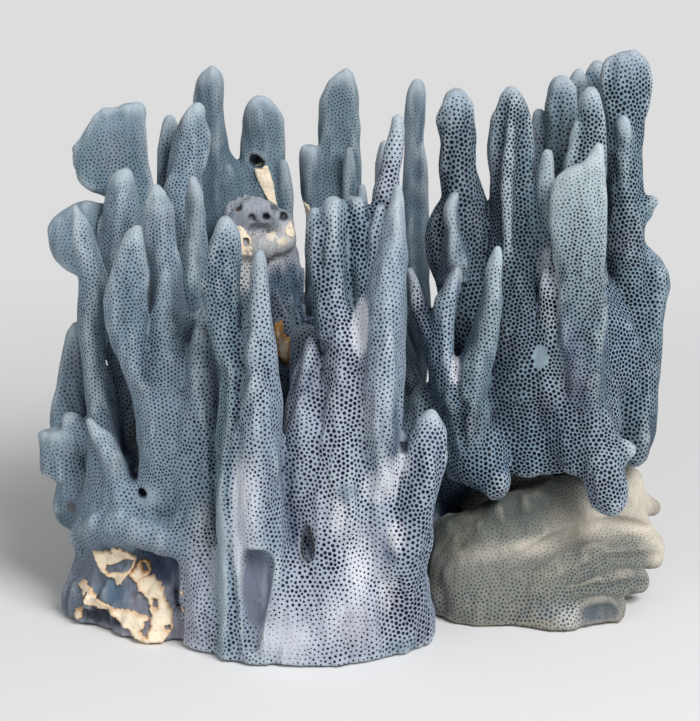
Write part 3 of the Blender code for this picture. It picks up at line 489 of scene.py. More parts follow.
patches = [
    patch((-8, -62, 12), (30, 12, 18), "lilac", 0.6, pore=0.85),
    # painted highlights: the white patches on the front and the trunk, where the pores are smaller too
    patch((-1, -61, 13), (13, 8, 12), "white", 0.55, pore=0.62),
    patch((-18, -60, 7), (12, 8, 10), "white", 0.6, pore=0.36),
    patch((14, -54, 13), (9, 9, 14), "trunk", 0.8, pore=1.2),
    patch((-4, -56, 46), (13, 9, 22), "pale", 0.6, pore=0.95),
    patch((-4.6, -56, 40), (3, 6, 8), "white", 0.8, pore=0.65, edge=2, lift=0.5),
    patch((5.6, -53, 47.4), (5.4, 6, 6), "white", 0.6, pore=0.75, edge=2, lift=0.4),
    patch((4, -50, 66), (8, 8, 14), "pale", 0.6),
    patch((1.4, -43, 88), (3.2, 7, 10), "white", 1, pore=0.5, edge=4, lift=1),
    patch((4, -56, 70), (7, 8, 16), "lilac", 0.5, pore=0.9),
    patch((9.4, -53, 51), (4, 7, 9), "white", 0.9, pore=0.75, edge=2, lift=0.7),
    patch((12.8, -51, 54), (2.6, 6, 6), "white", 0.8, pore=0.6, edge=2, lift=0.5),
    patch((1.6, -57, 27), (8, 8, 15), "white", 0.85, pore=0.6, lift=0.5),
    patch((8.6, -53, 18), (4.4, 7, 9), "white", 0.8, pore=0.7, lift=0.5),
    patch((-9, -54, 40), (5, 8, 11), "lilac", 0.9, pore=0.8, lift=1),
    patch((0.6, -47, 75), (4, 8, 10), "lilac", 0.8, lift=0.6),
    patch((4.2, -34.6, 106), (2.6, 6, 10), "steel", 0.8, lift=1.1),
    patch((-20, -63, 16), (3.4, 7, 16), "white", 0.6, pore=0.8),
    # painted shade in the channel between the front pillar and the trunk
    patch((-17.4, -52, 62), (3.2, 9, 30), "slateBlue", 0.55, pore=1.15),
    patch((14, -54, 1.5), (10, 10, 4.4), "blue", 0.9, pore=0.8),
    # painted shade beside the slot between sail and thumb
    patch((9.8, -54, 62), (3.8, 8, 12), "slateBlue", 0.9, pore=1.2, edge=2),
    patch((13.4, -42, 101), (3, 6, 22), "slate", 0.6),
    patch((-4, -36, 104), (11, 9, 26), "blue", 0.9),
    patch((-13.4, -42, 74), (4, 8, 8), "slateBlue", 0.8),
    patch((-35, -44, 104), (8, 9, 15), "slate", 0.55),
    # painted light: pale on the crevice left of the front ridge, which lies in shade
    patch((-40, -43, 31), (5, 9, 12), "pale", 1, edge=2, lift=2.2),
    patch((-56, -31, 77), (5, 9, 14), "slate", 0.7, pore=1.3),
    patch((-51, -27, 80), (6, 9, 12), "slate", 0.5, pore=1.2),
    # painted shade in the gap between the left finger and the trunk
    patch((-65, -31.4, 48), (4.6, 7, 9), "slateDark", 0.6),
    patch((-61, -31, 91), (5, 7, 13), "slate", 0.7),
    # painted shade by the small leaf's foot
    patch((-45, -16, 88), (4, 8, 8), "slateDark", 0.7),
    patch((-61, 9, 125), (10, 8, 16), "slate", 0.8),
    patch((-76, 3, 111), (9, 8, 6), "slate", 0.5),
    patch((-25, -51, 105), (4, 7, 10), "slate", 0.7),
    patch((0, -32, 121), (4, 6, 5), "slate", 0.8),
    patch((-39.8, -34, 69), (4, 8, 10), "steel", 0.8, lift=1.3),
    # painted light on the shaded web behind the front pillar
    patch((-14, 10, 70), (5, 10, 10), "steel", 0.8, lift=2),
    # painted shade: dark slate on the shaded fork and rear blade, under the small leaf, at the slim finger's
    # foot and at the side lobe's foot
    patch((17, -14, 92), (7, 10, 16), "slateDark", 1, pore=1.2, edge=2),
    patch((20, 44, 112), (4, 8, 20), "slateDark", 0.7),
    patch((-45, -9, 106), (4, 8, 14), "slateDark", 0.9),
    patch((31, -22, 57), (6, 8, 9), "slateDark", 0.6, pore=1.3),
    patch((37, -17, 56), (6, 7, 5), "slateDark", 0.9),
    patch((84, -11, 48), (8, 11, 12), "slate", 1),
    patch((84, -10, 45), (9, 11, 10), "slateDark", 0.6, edge=2),
    # painted light: pale ice on the crevice between the ribbed and pale blades, which lies in shade
    patch((55.4, -19, 69), (4, 8, 15), "ice", 0.9, pore=0.8, lift=1.6),
    patch((59, -19, 45), (10, 9, 9), "steel", 0.8, lift=1.3),
    # painted shade at the side lobe's foot
    patch((81, -3, 49), (10, 14, 12), "slate", 0.8),
    # painted light: pale ice on the web behind the thumb, which lies in shade
    patch((19, 0, 56), (7, 10, 14), "ice", 1, edge=3, lift=3),
    # painted highlights: white down the front ridge
    patch((-27.4, -59, 46), (4, 8, 17), "white", 0.8, pore=0.8, lift=0.4),
    patch((-30.6, -57, 40), (3, 6, 26), "white", 0.7, pore=0.35, edge=2),
    patch((-27, -58, 36), (6, 6, 26), "lilac", 0.4, pore=0.9),
    patch((-35.5, -56, 26), (2.4, 6, 32), "pale", 0.7, pore=0.2),
    patch((-38, -50, 30), (3, 8, 30), "pale", 0.4, pore=0.35),
    patch((-26, -56, 20), (5.2, 7, 14), "plum", 0.95, pore=0.16, edge=3, lift=0.3),
    # painted shade at the top of the niche, and a painted highlight down its right wall
    patch((-27, -55, 30), (4, 6, 5), "slateDark", 0.5),
    patch((-24.2, -55.4, 19), (1.3, 5, 11), "lilac", 0.6, lift=0.3),
    patch((8.8, -57, 31), (3.2, 8, 7), "violet", 0.9, pore=0.8, edge=2),
    # painted shade in the oval hole and in the bluish hollow of the trunk
    patch((-13.2, -56, 32.4), (3.2, 6.6, 6.6), "olive", 1, pore=1.1, edge=4, lift=0.8),
    patch((-2, -56, 46.6), (4.4, 7, 4), "slateBlue", 0.7, pore=0.7, edge=2),
    # painted highlight on the thumb's edge
    patch((10.8, -55, 34.4), (3.6, 7, 6), "white", 0.8, pore=0.8, edge=2, lift=0.6),
    # painted shade in the crevice between the nib and twin leaves
    patch((-56, -34, 73), (3.4, 7, 10), "slateDark", 0.6),
    patch((22.8, -4, 106), (4, 8, 9), "ice", 0.7, lift=1.5),
    patch((55, 11, 130), (3, 6, 12), "ice", 0.8, lift=1.5),
    # painted light: pale tones on the web between the ribbed and pale blades, which lies in shade
    patch((53.8, -16, 89), (3.6, 9, 15), "palest", 1, pore=1, edge=3, lift=0.9),
    patch((53.4, -14, 97), (4.4, 9, 9), "pale", 1, pore=0.75, edge=3, lift=1.8),
    patch((51, -18.4, 74), (2.5, 6, 3.9), "ice", 1, pore=0.1, edge=6, lift=1),
    # painted highlight
    patch((27.4, -22, 70.6), (2.4, 6, 5.4), "white", 1, pore=0.6, edge=3, lift=0.8),
    patch((56, -20, 56), (14, 12, 14), "violet", 0.3),
    patch((-19, 10, 80), (13, 20, 15.6), "slateBlue", 1, pore=1.6, edge=4, lift=0.8),
    # painted light on the shaded web behind the front pillar
    patch((-19, 3, 76), (8, 12, 16), "steel", 0.7, lift=1.4),
    patch((-25.4, 8, 98.8), (13, 10, 6), "chalk", 0.8, pore=1.2, edge=3, lift=0.5),
    patch((-26, 10, 104.4), (8, 7, 2.6), "mound", 0.2, edge=2, lift=1.2),
    patch((-19.4, 9, 103), (3.6, 8, 4.6), "chalk", 0.8, pore=0.6, edge=2),
    patch((-32, 6, 92), (6, 9, 9), "chalk", 0.7, edge=2),
    patch((-24, 9, 102), (1.5, 5, 1.5), "cream", 0.9, pore=0.2, edge=3),
    patch((-20.6, 9, 100.6), (1.7, 6, 1.6), "cream", 0.9, pore=0.2, edge=3),
    # painted shade inside the mound's pits, bar one brown pit, the hole under the spoon blade's top and the
    # small hole at the left
    patch((-29.5, 12, 107.1), (1.35, 6, 1.3), "pit", 1, pore=0.1, edge=3),
    patch((-25.5, 12, 107.1), (1.3, 6, 1.3), "pit", 1, pore=0.1, edge=3),
    patch((-23.1, 13, 109.6), (1.1, 6, 1.7), "pit", 1, pore=0.1, edge=3),
    patch((-20.5, 13, 106.9), (1.5, 6, 1.3), "pit", 1, pore=0.1, edge=3),
    patch((-33.4, 13, 109.6), (1.4, 6, 1.3), "umber", 1, pore=0.1, edge=3),
    patch((-31, 9, 100.4), (1.2, 5, 1.2), "pit", 0.8, pore=0.1, edge=3),
    patch((-29.3, 41, 118), (2.6, 6, 2.2), "pit", 1, pore=0, edge=3),
    patch((-58.3, -34, 38.8), (1.7, 8, 1.7), "pit", 1, pore=0.2),
    patch((-57, -36, 39), (6, 6, 5), "pale", 0.3, pore=0.5),
    patch((-62, -36, 12), (18, 12, 12), "crust", 0.9, pore=0.05),
    patch((-67, -35, 10.6), (7.4, 6, 5.6), "slateBlue", 1, pore=0),
    patch((-68, -34, 22.4), (10, 7, 4.4), "slateBlue", 0.8, pore=0.1),
    patch((-59.6, -35, 9), (4.4, 6, 5), "stone", 0.9, pore=0),
    # painted shade in the crevice at the foot
    patch((-70, -36, 3.2), (8.6, 9, 3), "pit", 0.95, pore=0, edge=3),
    patch((-71, -37, 0.6), (10, 7, 1.8), "umber", 0.6, pore=0),
    # painted shade in the recess under the lip and in two small cracks below it
    patch((-52.6, -34, 18), (6.6, 6, 6.4), "slateDark", 0.95, pore=0.1),
    patch((-49.4, -36, 11.6), (1.6, 6, 2.6), "pit", 1, pore=0),
    patch((-49.4, -37, 4.4), (1.2, 6, 3.4), "pit", 0.9, pore=0),
    patch((-48, -41, 2), (5, 6, 5), "stone", 0.9, pore=0.05),
    patch((-80, -17.4, 29.8), (2.4, 4, 2.4), "umber", 0.6, pore=0.5, edge=2),
    patch((-60, -12, 49), (6, 9, 12), "umber", 0.9, lift=2),
    patch((80, 1, 27), (12, 14, 13), "bone", 1, pore=0.05, lift=0.7),
    patch((89, -5, 12), (8, 10, 8), "bone", 1, pore=0.05),
    patch((77, -14, 7), (8, 7, 6), "blue", 0.35, pore=1.3),
    # painted highlight on the lowest fold's rim
    patch((60, -36, 4), (8, 6, 5), "white", 0.5, pore=1.1),
    patch((68.8, -32, 4), (8.6, 8, 5.8), "ash", 1, pore=0.4, edge=3),
    patch((54, -31, 4), (9, 8, 4), "steel", 0.4, pore=1.3),
    patch((44, -26, 19), (26, 14, 4), "bone", 0.25, pore=0.8),
    patch((64, -13, 24), (20, 13, 9), "bone", 0.7, pore=0.5, lift=0.8),
    patch((52, -24, 20), (14, 8, 4), "bone", 0.6, pore=0.6, lift=0.6),
    # painted shadow under the right mass's overhang, on the pale lobe's upper part
    patch((27, -21, 24), (12, 12, 10), "olive", 0.9, edge=2),
    patch((42, -18, 31), (30, 16, 11), "olive", 0.8),
]

# Plates of cream crust on the broken foot: outline (x, z) in mm, holes, thickness and how ochre it is.
plates = [
    dict(name="hand", thick=1.6, ochre=0.35, outline=[
        (-72.8, 20.9), (-67.3, 21.8), (-67, 23.6), (-64.5, 23.7), (-62.6, 22.1), (-60.4, 20.6),
        (-60.2, 19.8), (-61.1, 18), (-62.8, 15.7), (-64.2, 14.8), (-64.5, 13), (-65.6, 12.7), (-67, 14.3),
        (-68.6, 15.1), (-70.5, 15.7), (-72.3, 19.2)],
         holes=[[
                 (-69.1, 16.5), (-68.5, 17.4), (-65.2, 18.7), (-63, 19.5), (-61.3, 19.6), (-62.2, 17.7),
                 (-63.9, 16.5), (-66.1, 16.4), (-68, 15.8)]]),
    dict(name="ring", thick=1.4, ochre=0.6, outline=[
        (-62.7, 15.8), (-61.3, 17), (-59.3, 19.5), (-57.4, 19.4), (-56.4, 17.2), (-56.7, 15.6),
        (-58.6, 14.4), (-60.3, 13.5), (-61.9, 14.8)],
         holes=[[(-58.8, 18.5), (-58, 18.2), (-57.5, 16.7), (-58.3, 16.4)]]),
    dict(name="hook", thick=2, ochre=0.4, outline=[
        (-60.3, 13.7), (-59.4, 14.9), (-57.5, 15.2), (-55.3, 14.9), (-52.8, 13.2), (-52.3, 10.7),
        (-51.3, 9), (-50.2, 7.3), (-49.8, 3.7), (-51.2, 1.9), (-52.4, 0.4), (-55.4, -0.2), (-58.7, 0),
        (-60.1, 0.7), (-61.9, 2.1), (-65.2, 4), (-67.1, 5.4), (-69.3, 5.6), (-72.8, 6.1), (-75, 7.4),
        (-76.4, 9), (-77.3, 9.9), (-76.3, 11.2), (-74.9, 11.8), (-72.9, 10.9), (-71.4, 8.6), (-68.9, 7.3),
        (-66.6, 6.7), (-63, 6.9), (-59.2, 6.6), (-56.9, 6.2), (-57.4, 4.6), (-58.7, 2.5), (-58.2, 1.2),
        (-57.2, 1.7), (-55.9, 3.7), (-55.8, 5.8), (-56.4, 8.4), (-57, 10.2), (-59.7, 11.9)],
         holes=[[(-55.4, 10.2), (-54.4, 10.2), (-54.5, 8.4), (-55.3, 8.4)],
                [(-51.6, 4.6), (-50.7, 4.6), (-50.6, 3.7), (-51.5, 3.7)]]),
    dict(name="crumb", thick=1.2, ochre=0.5, outline=[
        (-78.6, 2.9), (-77.4, 4.6), (-75.5, 4.9), (-75.8, 3.5), (-76.7, 1.7), (-77.6, 1.1), (-78.4, 1.7)]),
    dict(name="mound_left", thick=0.9, ochre=0, fromY=-4, outline=[
        (-34, 103.8), (-32.8, 104.8), (-31.2, 103.4), (-30, 101.6), (-29.4, 99), (-29.4, 97), (-31.4, 96.2),
        (-33.4, 97.4), (-34.8, 100.4)],
         holes=[[(-31.7, 101.2), (-30.5, 101.3), (-30.2, 100), (-31.2, 99.6)]]),
    dict(name="mound_right", thick=0.9, ochre=0.05, fromY=-4, outline=[
        (-19.9, 104.4), (-18.6, 105.8), (-17.3, 105), (-17.2, 102.6), (-18, 101.4), (-19.6, 102.2)]),
    dict(name="nugget", thick=2.2, ochre=1, fromY=-24, outline=[
        (-22.8, 78.4), (-21, 78.8), (-20.6, 75.6), (-18.7, 74), (-18.2, 70), (-19.6, 67.6), (-21.8, 70.4),
        (-22.6, 74)]),
    dict(name="sliver", thick=1, ochre=0, ragged=0.15, fromY=33, outline=[
        (-30, 116.4), (-28, 117.2), (-26, 116.9), (-25, 114.1), (-24.2, 111), (-23.7, 108), (-23.2, 104.8),
        (-24.8, 105.4), (-26.6, 108.2), (-28.3, 111.4), (-29.5, 114)]),
    dict(name="blob", thick=1.2, ochre=0.2, fromY=33, outline=[
        (-16.8, 106), (-14.4, 105), (-12.2, 101.6), (-12.4, 98.8), (-15.6, 99), (-17, 102.4)]),
    dict(name="chip", thick=0.7, ochre=0.4, outline=[(-48.2, 9.8), (-45.9, 8.9), (-47, 8), (-48.4, 8.6)]),
    dict(name="chip_above", thick=0.7, ochre=0.5, outline=[
        (-48.4, 14.2), (-46.8, 13.9), (-47.2, 13), (-48.6, 13.2)]),
]

pieceBooks = [massPieces, frontRow, rightCluster, leftCluster, rearRow]
pieces = {name: spec for book in pieceBooks for name, spec in book.items()}
pieceNames = list(pieces)
pieceIndex = {name: number for number, name in enumerate(pieceNames)}

# The closeness field, on a grid in mm: its value is below zero inside the coral.
lowCorner = np.array(cadBounds[0]) / mm
highCorner = np.array(cadBounds[1]) / mm
gridStart = np.floor(lowCorner - skin["margin"])
gridStart[2] = -6 * skin["cell"]
gridEnd = highCorner + skin["margin"]
axes = [np.arange(gridStart[a], gridEnd[a], skin["cell"]) for a in range(3)]
axes = [axis[:len(axis) - (len(axis) + 1) % 2] for axis in axes]  # odd counts, to take every second sample
shape = tuple(len(axis) for axis in axes)
far = 9.0            # mm round a piece in which its distance is worked out


def smoothed(values, width):
    # running mean with a raised-cosine weight, ends held
    weight = np.hanning(width + 2)[1:-1]
    padded = np.concatenate([np.repeat(values[:1], width // 2), values, np.repeat(values[-1:], width // 2)])
    return np.convolve(padded, weight / weight.sum(), "valid")


def columnSections(spine, heights):
    # centre and half axes of the upright piece at each height; the squares of the half axes run straight
    # between the spine's points, which rounds a tip like the end of an egg
    stations = np.array(spine, dtype=float)
    fine = np.arange(heights[0] - 4, heights[-1] + 4, 0.4)
    centres = [smoothed(np.interp(fine, stations[:, 2], stations[:, k]), 9) for k in (0, 1)]
    halves = []
    for k in (3, 4):
        square = np.interp(fine, stations[:, 2], stations[:, k] ** 2)
        nearTip = np.clip((stations[-1, 2] - fine) / 3.0, 0.0, 1.0)
        square = smoothed(square, 7) * nearTip + square * (1 - nearTip)
        halves.append(np.sqrt(np.maximum(square, 0.04)))
    return [np.interp(heights, fine, values) for values in centres + halves]


def columnDistance(spec, x, y, z):
    # distance to an elliptic section whose centre and half axes depend on height alone: n (n - 1) over the
    # slope of n, where n is the length of (u / a, v / b); the flat ends join it with a small round
    cx, cy, a, b = columnSections(spec["spine"], z)
    foot, top = spec["spine"][0][2], spec["spine"][-1][2] + 0.3
    u = x[:, None, None] - cx[None, None, :]
    v = y[None, :, None] - cy[None, None, :]
    near = np.sqrt((u / a) ** 2 + (v / b) ** 2)
    steep = np.sqrt((u / a ** 2) ** 2 + (v / b ** 2) ** 2)
    flat = near * (near - 1.0) / np.maximum(steep, 1e-3)
    flat = np.maximum(flat, -np.minimum(a, b)[None, None, :])
    edgeRound = np.minimum(np.minimum(a, b) * 0.8, 1.3)
    level = np.maximum(z - top, foot - z) + edgeRound + np.zeros_like(flat)
    flat = flat + edgeRound
    return (np.minimum(np.maximum(flat, level), 0.0) - edgeRound
            + np.sqrt(np.maximum(flat, 0.0) ** 2 + np.maximum(level, 0.0) ** 2))


def lobeDistance(spec, x, y, z):
    # nearest of a chain of round cones, drawn out by "deep" to the front and back: the way to the nearest
    # point of the axis, less the radius there
    deep = spec.get("deep", 0.0)
    points = np.array(spec["lobe"], dtype=float)
    best = np.full((len(x), len(y), len(z)), far * 3)
    gx, gy, gz = x[:, None, None], y[None, :, None], z[None, None, :]
    for start, end in zip(points[:-1], points[1:]):
        along = (end - start)[:3]
        reach = (gx - start[0]) * along[0] + (gy - start[1]) * along[1] + (gz - start[2]) * along[2]
        t = np.clip(reach / (along ** 2).sum(), 0.0, 1.0)
        ahead = np.maximum(np.abs(gy - start[1] - t * along[1]) - deep, 0.0)
        gap = np.sqrt((gx - start[0] - t * along[0]) ** 2 + ahead ** 2
                      + (gz - start[2] - t * along[2]) ** 2)
        best = np.minimum(best, gap - start[3] - t * (end[3] - start[3]))
    return best


def localBox(points, grow):
    # index range of the grid that a piece can reach
    slices = []
    for a in range(3):
        first = np.searchsorted(axes[a], points[:, a].min() - grow[a])
        last = np.searchsorted(axes[a], points[:, a].max() + grow[a])
        slices.append(slice(max(first - 1, 0), min(last + 1, shape[a])))
    return tuple(slices)


def pieceBox(spec):
    # the box round a spine or a lobe, wider by its greatest radius and the far distance
    if "lobe" in spec:
        points = np.array(spec["lobe"], dtype=float)
        reach = points[:, 3].max() + far
        return localBox(points, (reach, reach + spec.get("deep", 0.0), reach))
    points = np.array(spec["spine"], dtype=float)
    wide = max(points[:, 3].max(), points[:, 4].max()) + far
    return localBox(points, (wide, wide, far))


def distanceTo(spec, box):
    # distance from each sample of a box to one spine or lobe
    x, y, z = (axes[a][box[a]] for a in range(3))
    return (lobeDistance if "lobe" in spec else columnDistance)(spec, x, y, z)


fillet = np.interp(axes[2], (45.0, 105.0), (skin["filletLow"], skin["filletHigh"])).astype(np.float32)
total = np.zeros(shape, dtype=np.float32)         # sum of exp(-distance / fillet)
paint = np.zeros(shape + (5,), dtype=np.float32)  # the same sum, weighted by colour, pore size and spacing
nearest = np.full(shape, far, dtype=np.float32)
owner = np.zeros(shape, dtype=np.int16)


def addPiece(name, spec):
    # adds a piece to the sums, with the weight exp(-distance / fillet); its tone goes by height, body to tip
    box = pieceBox(spec)
    d = distanceTo(spec, box).astype(np.float32)
    z = axes[2][box[2]]
    weight = np.exp(-np.clip(d / fillet[box[2]], -6, 20))
    body, tip = linear(tones[spec["tone"]]), linear(tones[spec.get("tip", spec["tone"])])
    stations = np.array(spec.get("spine", spec.get("lobe")), dtype=float)
    topEnd = stations[:, 2].max()
    share = np.clip(1.0 - (topEnd - z) / spec.get("tipFade", 9.0), 0.0, 1.0) ** 1.5
    if "tip" not in spec:
        share = share * 0
    colour = body[None] * (1 - share[:, None]) + tip[None] * share[:, None]
    poreSize = spec["pore"] * (1.0 - 0.65 * share)
    pitch = np.full(len(z), spec.get("pitch", skin["pitch"]))
    total[box] += weight
    paint[box] += weight[..., None] * np.column_stack([colour, poreSize, pitch])[None, None]
    closer = d < nearest[box]
    nearest[box] = np.where(closer, d, nearest[box])
    owner[box] = np.where(closer, pieceIndex[name], owner[box])


for name, spec in pieces.items():
    addPiece(name, spec)
for name, spec in addedLobes:
    addPiece(name, spec)
print("grid", shape, "pieces", len(pieces))

field = -fillet * np.log(np.maximum(total, np.exp(-far / fillet)))


def frequencies(size, spacing):
    # cycles to the mm along x, y and z, for the transform of a grid of real values
    fx, fy = np.fft.fftfreq(size[0], spacing), np.fft.fftfreq(size[1], spacing)
    return fx[:, None, None], fy[None, :, None], np.fft.rfftfreq(size[2], spacing)[None, None, :]


def spectrumNoise(seed):
    # white noise kept only near two wavelengths, each longer upright than across: slow lumps and fine
    # upright flutes; the weight is exp(-((wavelength / own - 1) / band)^2)
    rng = np.random.default_rng(seed)
    spectrum = np.fft.rfftn(rng.standard_normal(shape).astype(np.float32))
    fx, fy, fz = frequencies(shape, skin["cell"])
    radius = np.sqrt(fx ** 2 + fy ** 2 + (skin["upright"] * fz) ** 2)
    both = []
    for wavelength in (skin["lumpLength"], skin["fluteLength"]):
        band = np.exp(-((radius * wavelength - 1.0) / skin["band"]) ** 2)
        made = np.fft.irfftn(spectrum * band, shape, axes=(0, 1, 2))
        both.append(made / made.std())
    return both


lumps, flutes = spectrumNoise(skin["seed"])
field += (skin["lump"] * lumps + skin["flute"] * flutes).astype(np.float32)
for name in ("mound", "left_base"):  # the crusted pieces are rougher
    box = pieceBox(pieces[name])
    own = np.clip(1.5 - np.abs(distanceTo(pieces[name], box) - field[box]), 0, 1)
    field[box] += (own * (skin["rough"] * flutes[box] + 0.2 * lumps[box])).astype(np.float32)
del lumps, flutes


def carve(box, depth, softness):
    # smooth difference: the greater of the field and minus the cutter's distance, rounded where they meet
    here = field[box]
    other = -depth
    blend = np.clip(0.5 + 0.5 * (here - other) / softness, 0, 1)
    field[box] = other * (1 - blend) + here * blend + softness * blend * (1 - blend)


for hollow in hollows:
    box = pieceBox(hollow)
    carve(box, distanceTo(hollow, box).astype(np.float32), hollow.get("soft", 1.0))

field = np.maximum(field, -axes[2][None, None, :].astype(np.float32))  # the sawn underside
print("field ready")


def sample(values, points):
    # trilinear reading of a grid at points in mm
    where = (points - gridStart) / skin["cell"]
    where = np.clip(where, 0, np.array(shape) - 1.001)
    base = where.astype(np.int64)
    t = (where - base).astype(np.float32)
    flatValues = values.reshape(shape[0] * shape[1] * shape[2], -1)
    start = (base[:, 0] * shape[1] + base[:, 1]) * shape[2] + base[:, 2]
    out = 0
    for i, j, k in np.ndindex(2, 2, 2):
        w = (np.abs(1 - i - t[:, 0]) * np.abs(1 - j - t[:, 1]) * np.abs(1 - k - t[:, 2]))[:, None]
        out = out + w * flatValues[start + (i * shape[1] + j) * shape[2] + k]
    return out


def slopeOf(values, points):
    # central differences one half cell apart
    step = 0.5 * skin["cell"]
    parts = []
    for a in range(3):
        shift = np.zeros(3)
        shift[a] = step
        parts.append((sample(values, points + shift) - sample(values, points - shift))[:, 0] / (2 * step))
    return np.stack(parts, axis=1)


def unit(vectors, least=1e-6):
    # each vector over its length
    return vectors / np.maximum(np.linalg.norm(vectors, axis=1, keepdims=True), least)


def normalsAt(points):
    # the field's slope, brought to length one
    return unit(slopeOf(field, points))


def ontoSkin(points, rounds=1):
    # move points along the slope to where the field is zero
    for _ in range(rounds):
        g = slopeOf(field, points)
        d = sample(field, points)[:, 0]
        step = d / np.maximum((g ** 2).sum(axis=1), 0.15)
        points = points - np.clip(step, -0.8, 0.8)[:, None] * g
        points[:, 2] = np.maximum(points[:, 2], 0.0)
    return points


def cellBeside(hit, a, db, dc):
    # the cell that lies db and dc steps back along the two axes across axis a
    cell = hit.copy()
    cell[:, (a + 1) % 3] -= db
    cell[:, (a + 2) % 3] -= dc
    return cell


def drawSkin():
    # one point in each cell that the surface crosses, at the mean of its edge crossings, and a quad round
    # each crossed edge
    coarse = field[::2, ::2, ::2]
    inside = coarse < 0
    n = np.array(coarse.shape)
    count = np.zeros(n - 1, dtype=np.int32)
    place = np.zeros(tuple(n - 1) + (3,), dtype=np.float32)
    crossings = []
    for a in range(3):
        lowSide = [slice(None)] * 3
        highSide = [slice(None)] * 3
        lowSide[a] = slice(0, -1)
        highSide[a] = slice(1, None)
        f0, f1 = coarse[tuple(lowSide)], coarse[tuple(highSide)]
        hit = np.argwhere(inside[tuple(lowSide)] != inside[tuple(highSide)])
        values0, values1 = f0[tuple(hit.T)], f1[tuple(hit.T)]
        point = hit.astype(np.float32)
        point[:, a] += values0 / (values0 - values1)
        for db, dc in np.ndindex(2, 2):
            cell = cellBeside(hit, a, db, dc)
            keep = (cell >= 0).all(axis=1) & (cell < n - 1).all(axis=1)
            np.add.at(count, tuple(cell[keep].T), 1)
            for k in range(3):
                np.add.at(place[..., k], tuple(cell[keep].T), point[keep, k])
        crossings.append((a, hit, values0 < 0))
    used = count > 0
    number = np.full(used.shape, -1, dtype=np.int64)
    number[used] = np.arange(used.sum())
    points = place[used] / count[used][:, None] * 2 * skin["cell"] + gridStart
    quads = []
    for a, hit, outwards in crossings:
        ring = [cellBeside(hit, a, db, dc) for db, dc in ((1, 1), (0, 1), (0, 0), (1, 0))]
        quad = np.stack([number[tuple(cell.T)] for cell in ring], axis=1)
        quad[~outwards] = quad[~outwards][:, ::-1]
        quads.append(quad)
    quads = np.concatenate(quads)
    shortFirst = (np.linalg.norm(points[quads[:, 0]] - points[quads[:, 2]], axis=1)
                  < np.linalg.norm(points[quads[:, 1]] - points[quads[:, 3]], axis=1))
    triangles = np.where(shortFirst[:, None, None], quads[:, [[0, 1, 2], [0, 2, 3]]],
                         quads[:, [[1, 2, 3], [1, 3, 0]]]).reshape(-1, 3)
    return points, triangles


def spread(n, a, b):
    # connected groups: every link pulls both ends to the lower label until nothing changes
    label = np.arange(n)
    while True:
        before = label.copy()
        low = np.minimum(label[a], label[b])
        np.minimum.at(label, before[a], low)
        np.minimum.at(label, before[b], low)
        while True:
            jumped = label[label]
            if (jumped == label).all():
                break
            label = jumped
        if (label == before).all():
            return label


def mainBody(points, triangles):
    # keep only the largest connected skin
    label = spread(len(points), triangles[:, [0, 1]].ravel(), triangles[:, [1, 2]].ravel())
    keep = label == np.bincount(label).argmax()
    renumber = np.cumsum(keep) - 1
    triangles = renumber[triangles[keep[triangles[:, 0]]]]
    return points[keep], triangles


def edgesOf(triangles):
    # both ends of every face's three edges, edge by edge
    return triangles.T.ravel(), triangles[:, [1, 2, 0]].T.ravel()


def halfEdges(triangles, n):
    # directed edges sorted so that the two sides of an edge stand together
    start, end = edgesOf(triangles)
    across = triangles[:, [2, 0, 1]].T.ravel()
    face = np.tile(np.arange(len(triangles)), 3)
    key = np.minimum(start, end) * n + np.maximum(start, end)
    order = np.argsort(key, kind="stable")
    return start[order], end[order], across[order], face[order], key[order]


def crossTimes(p, q, r):
    # a triangle's normal, as long as twice its area
    return np.cross(q - p, r - p)


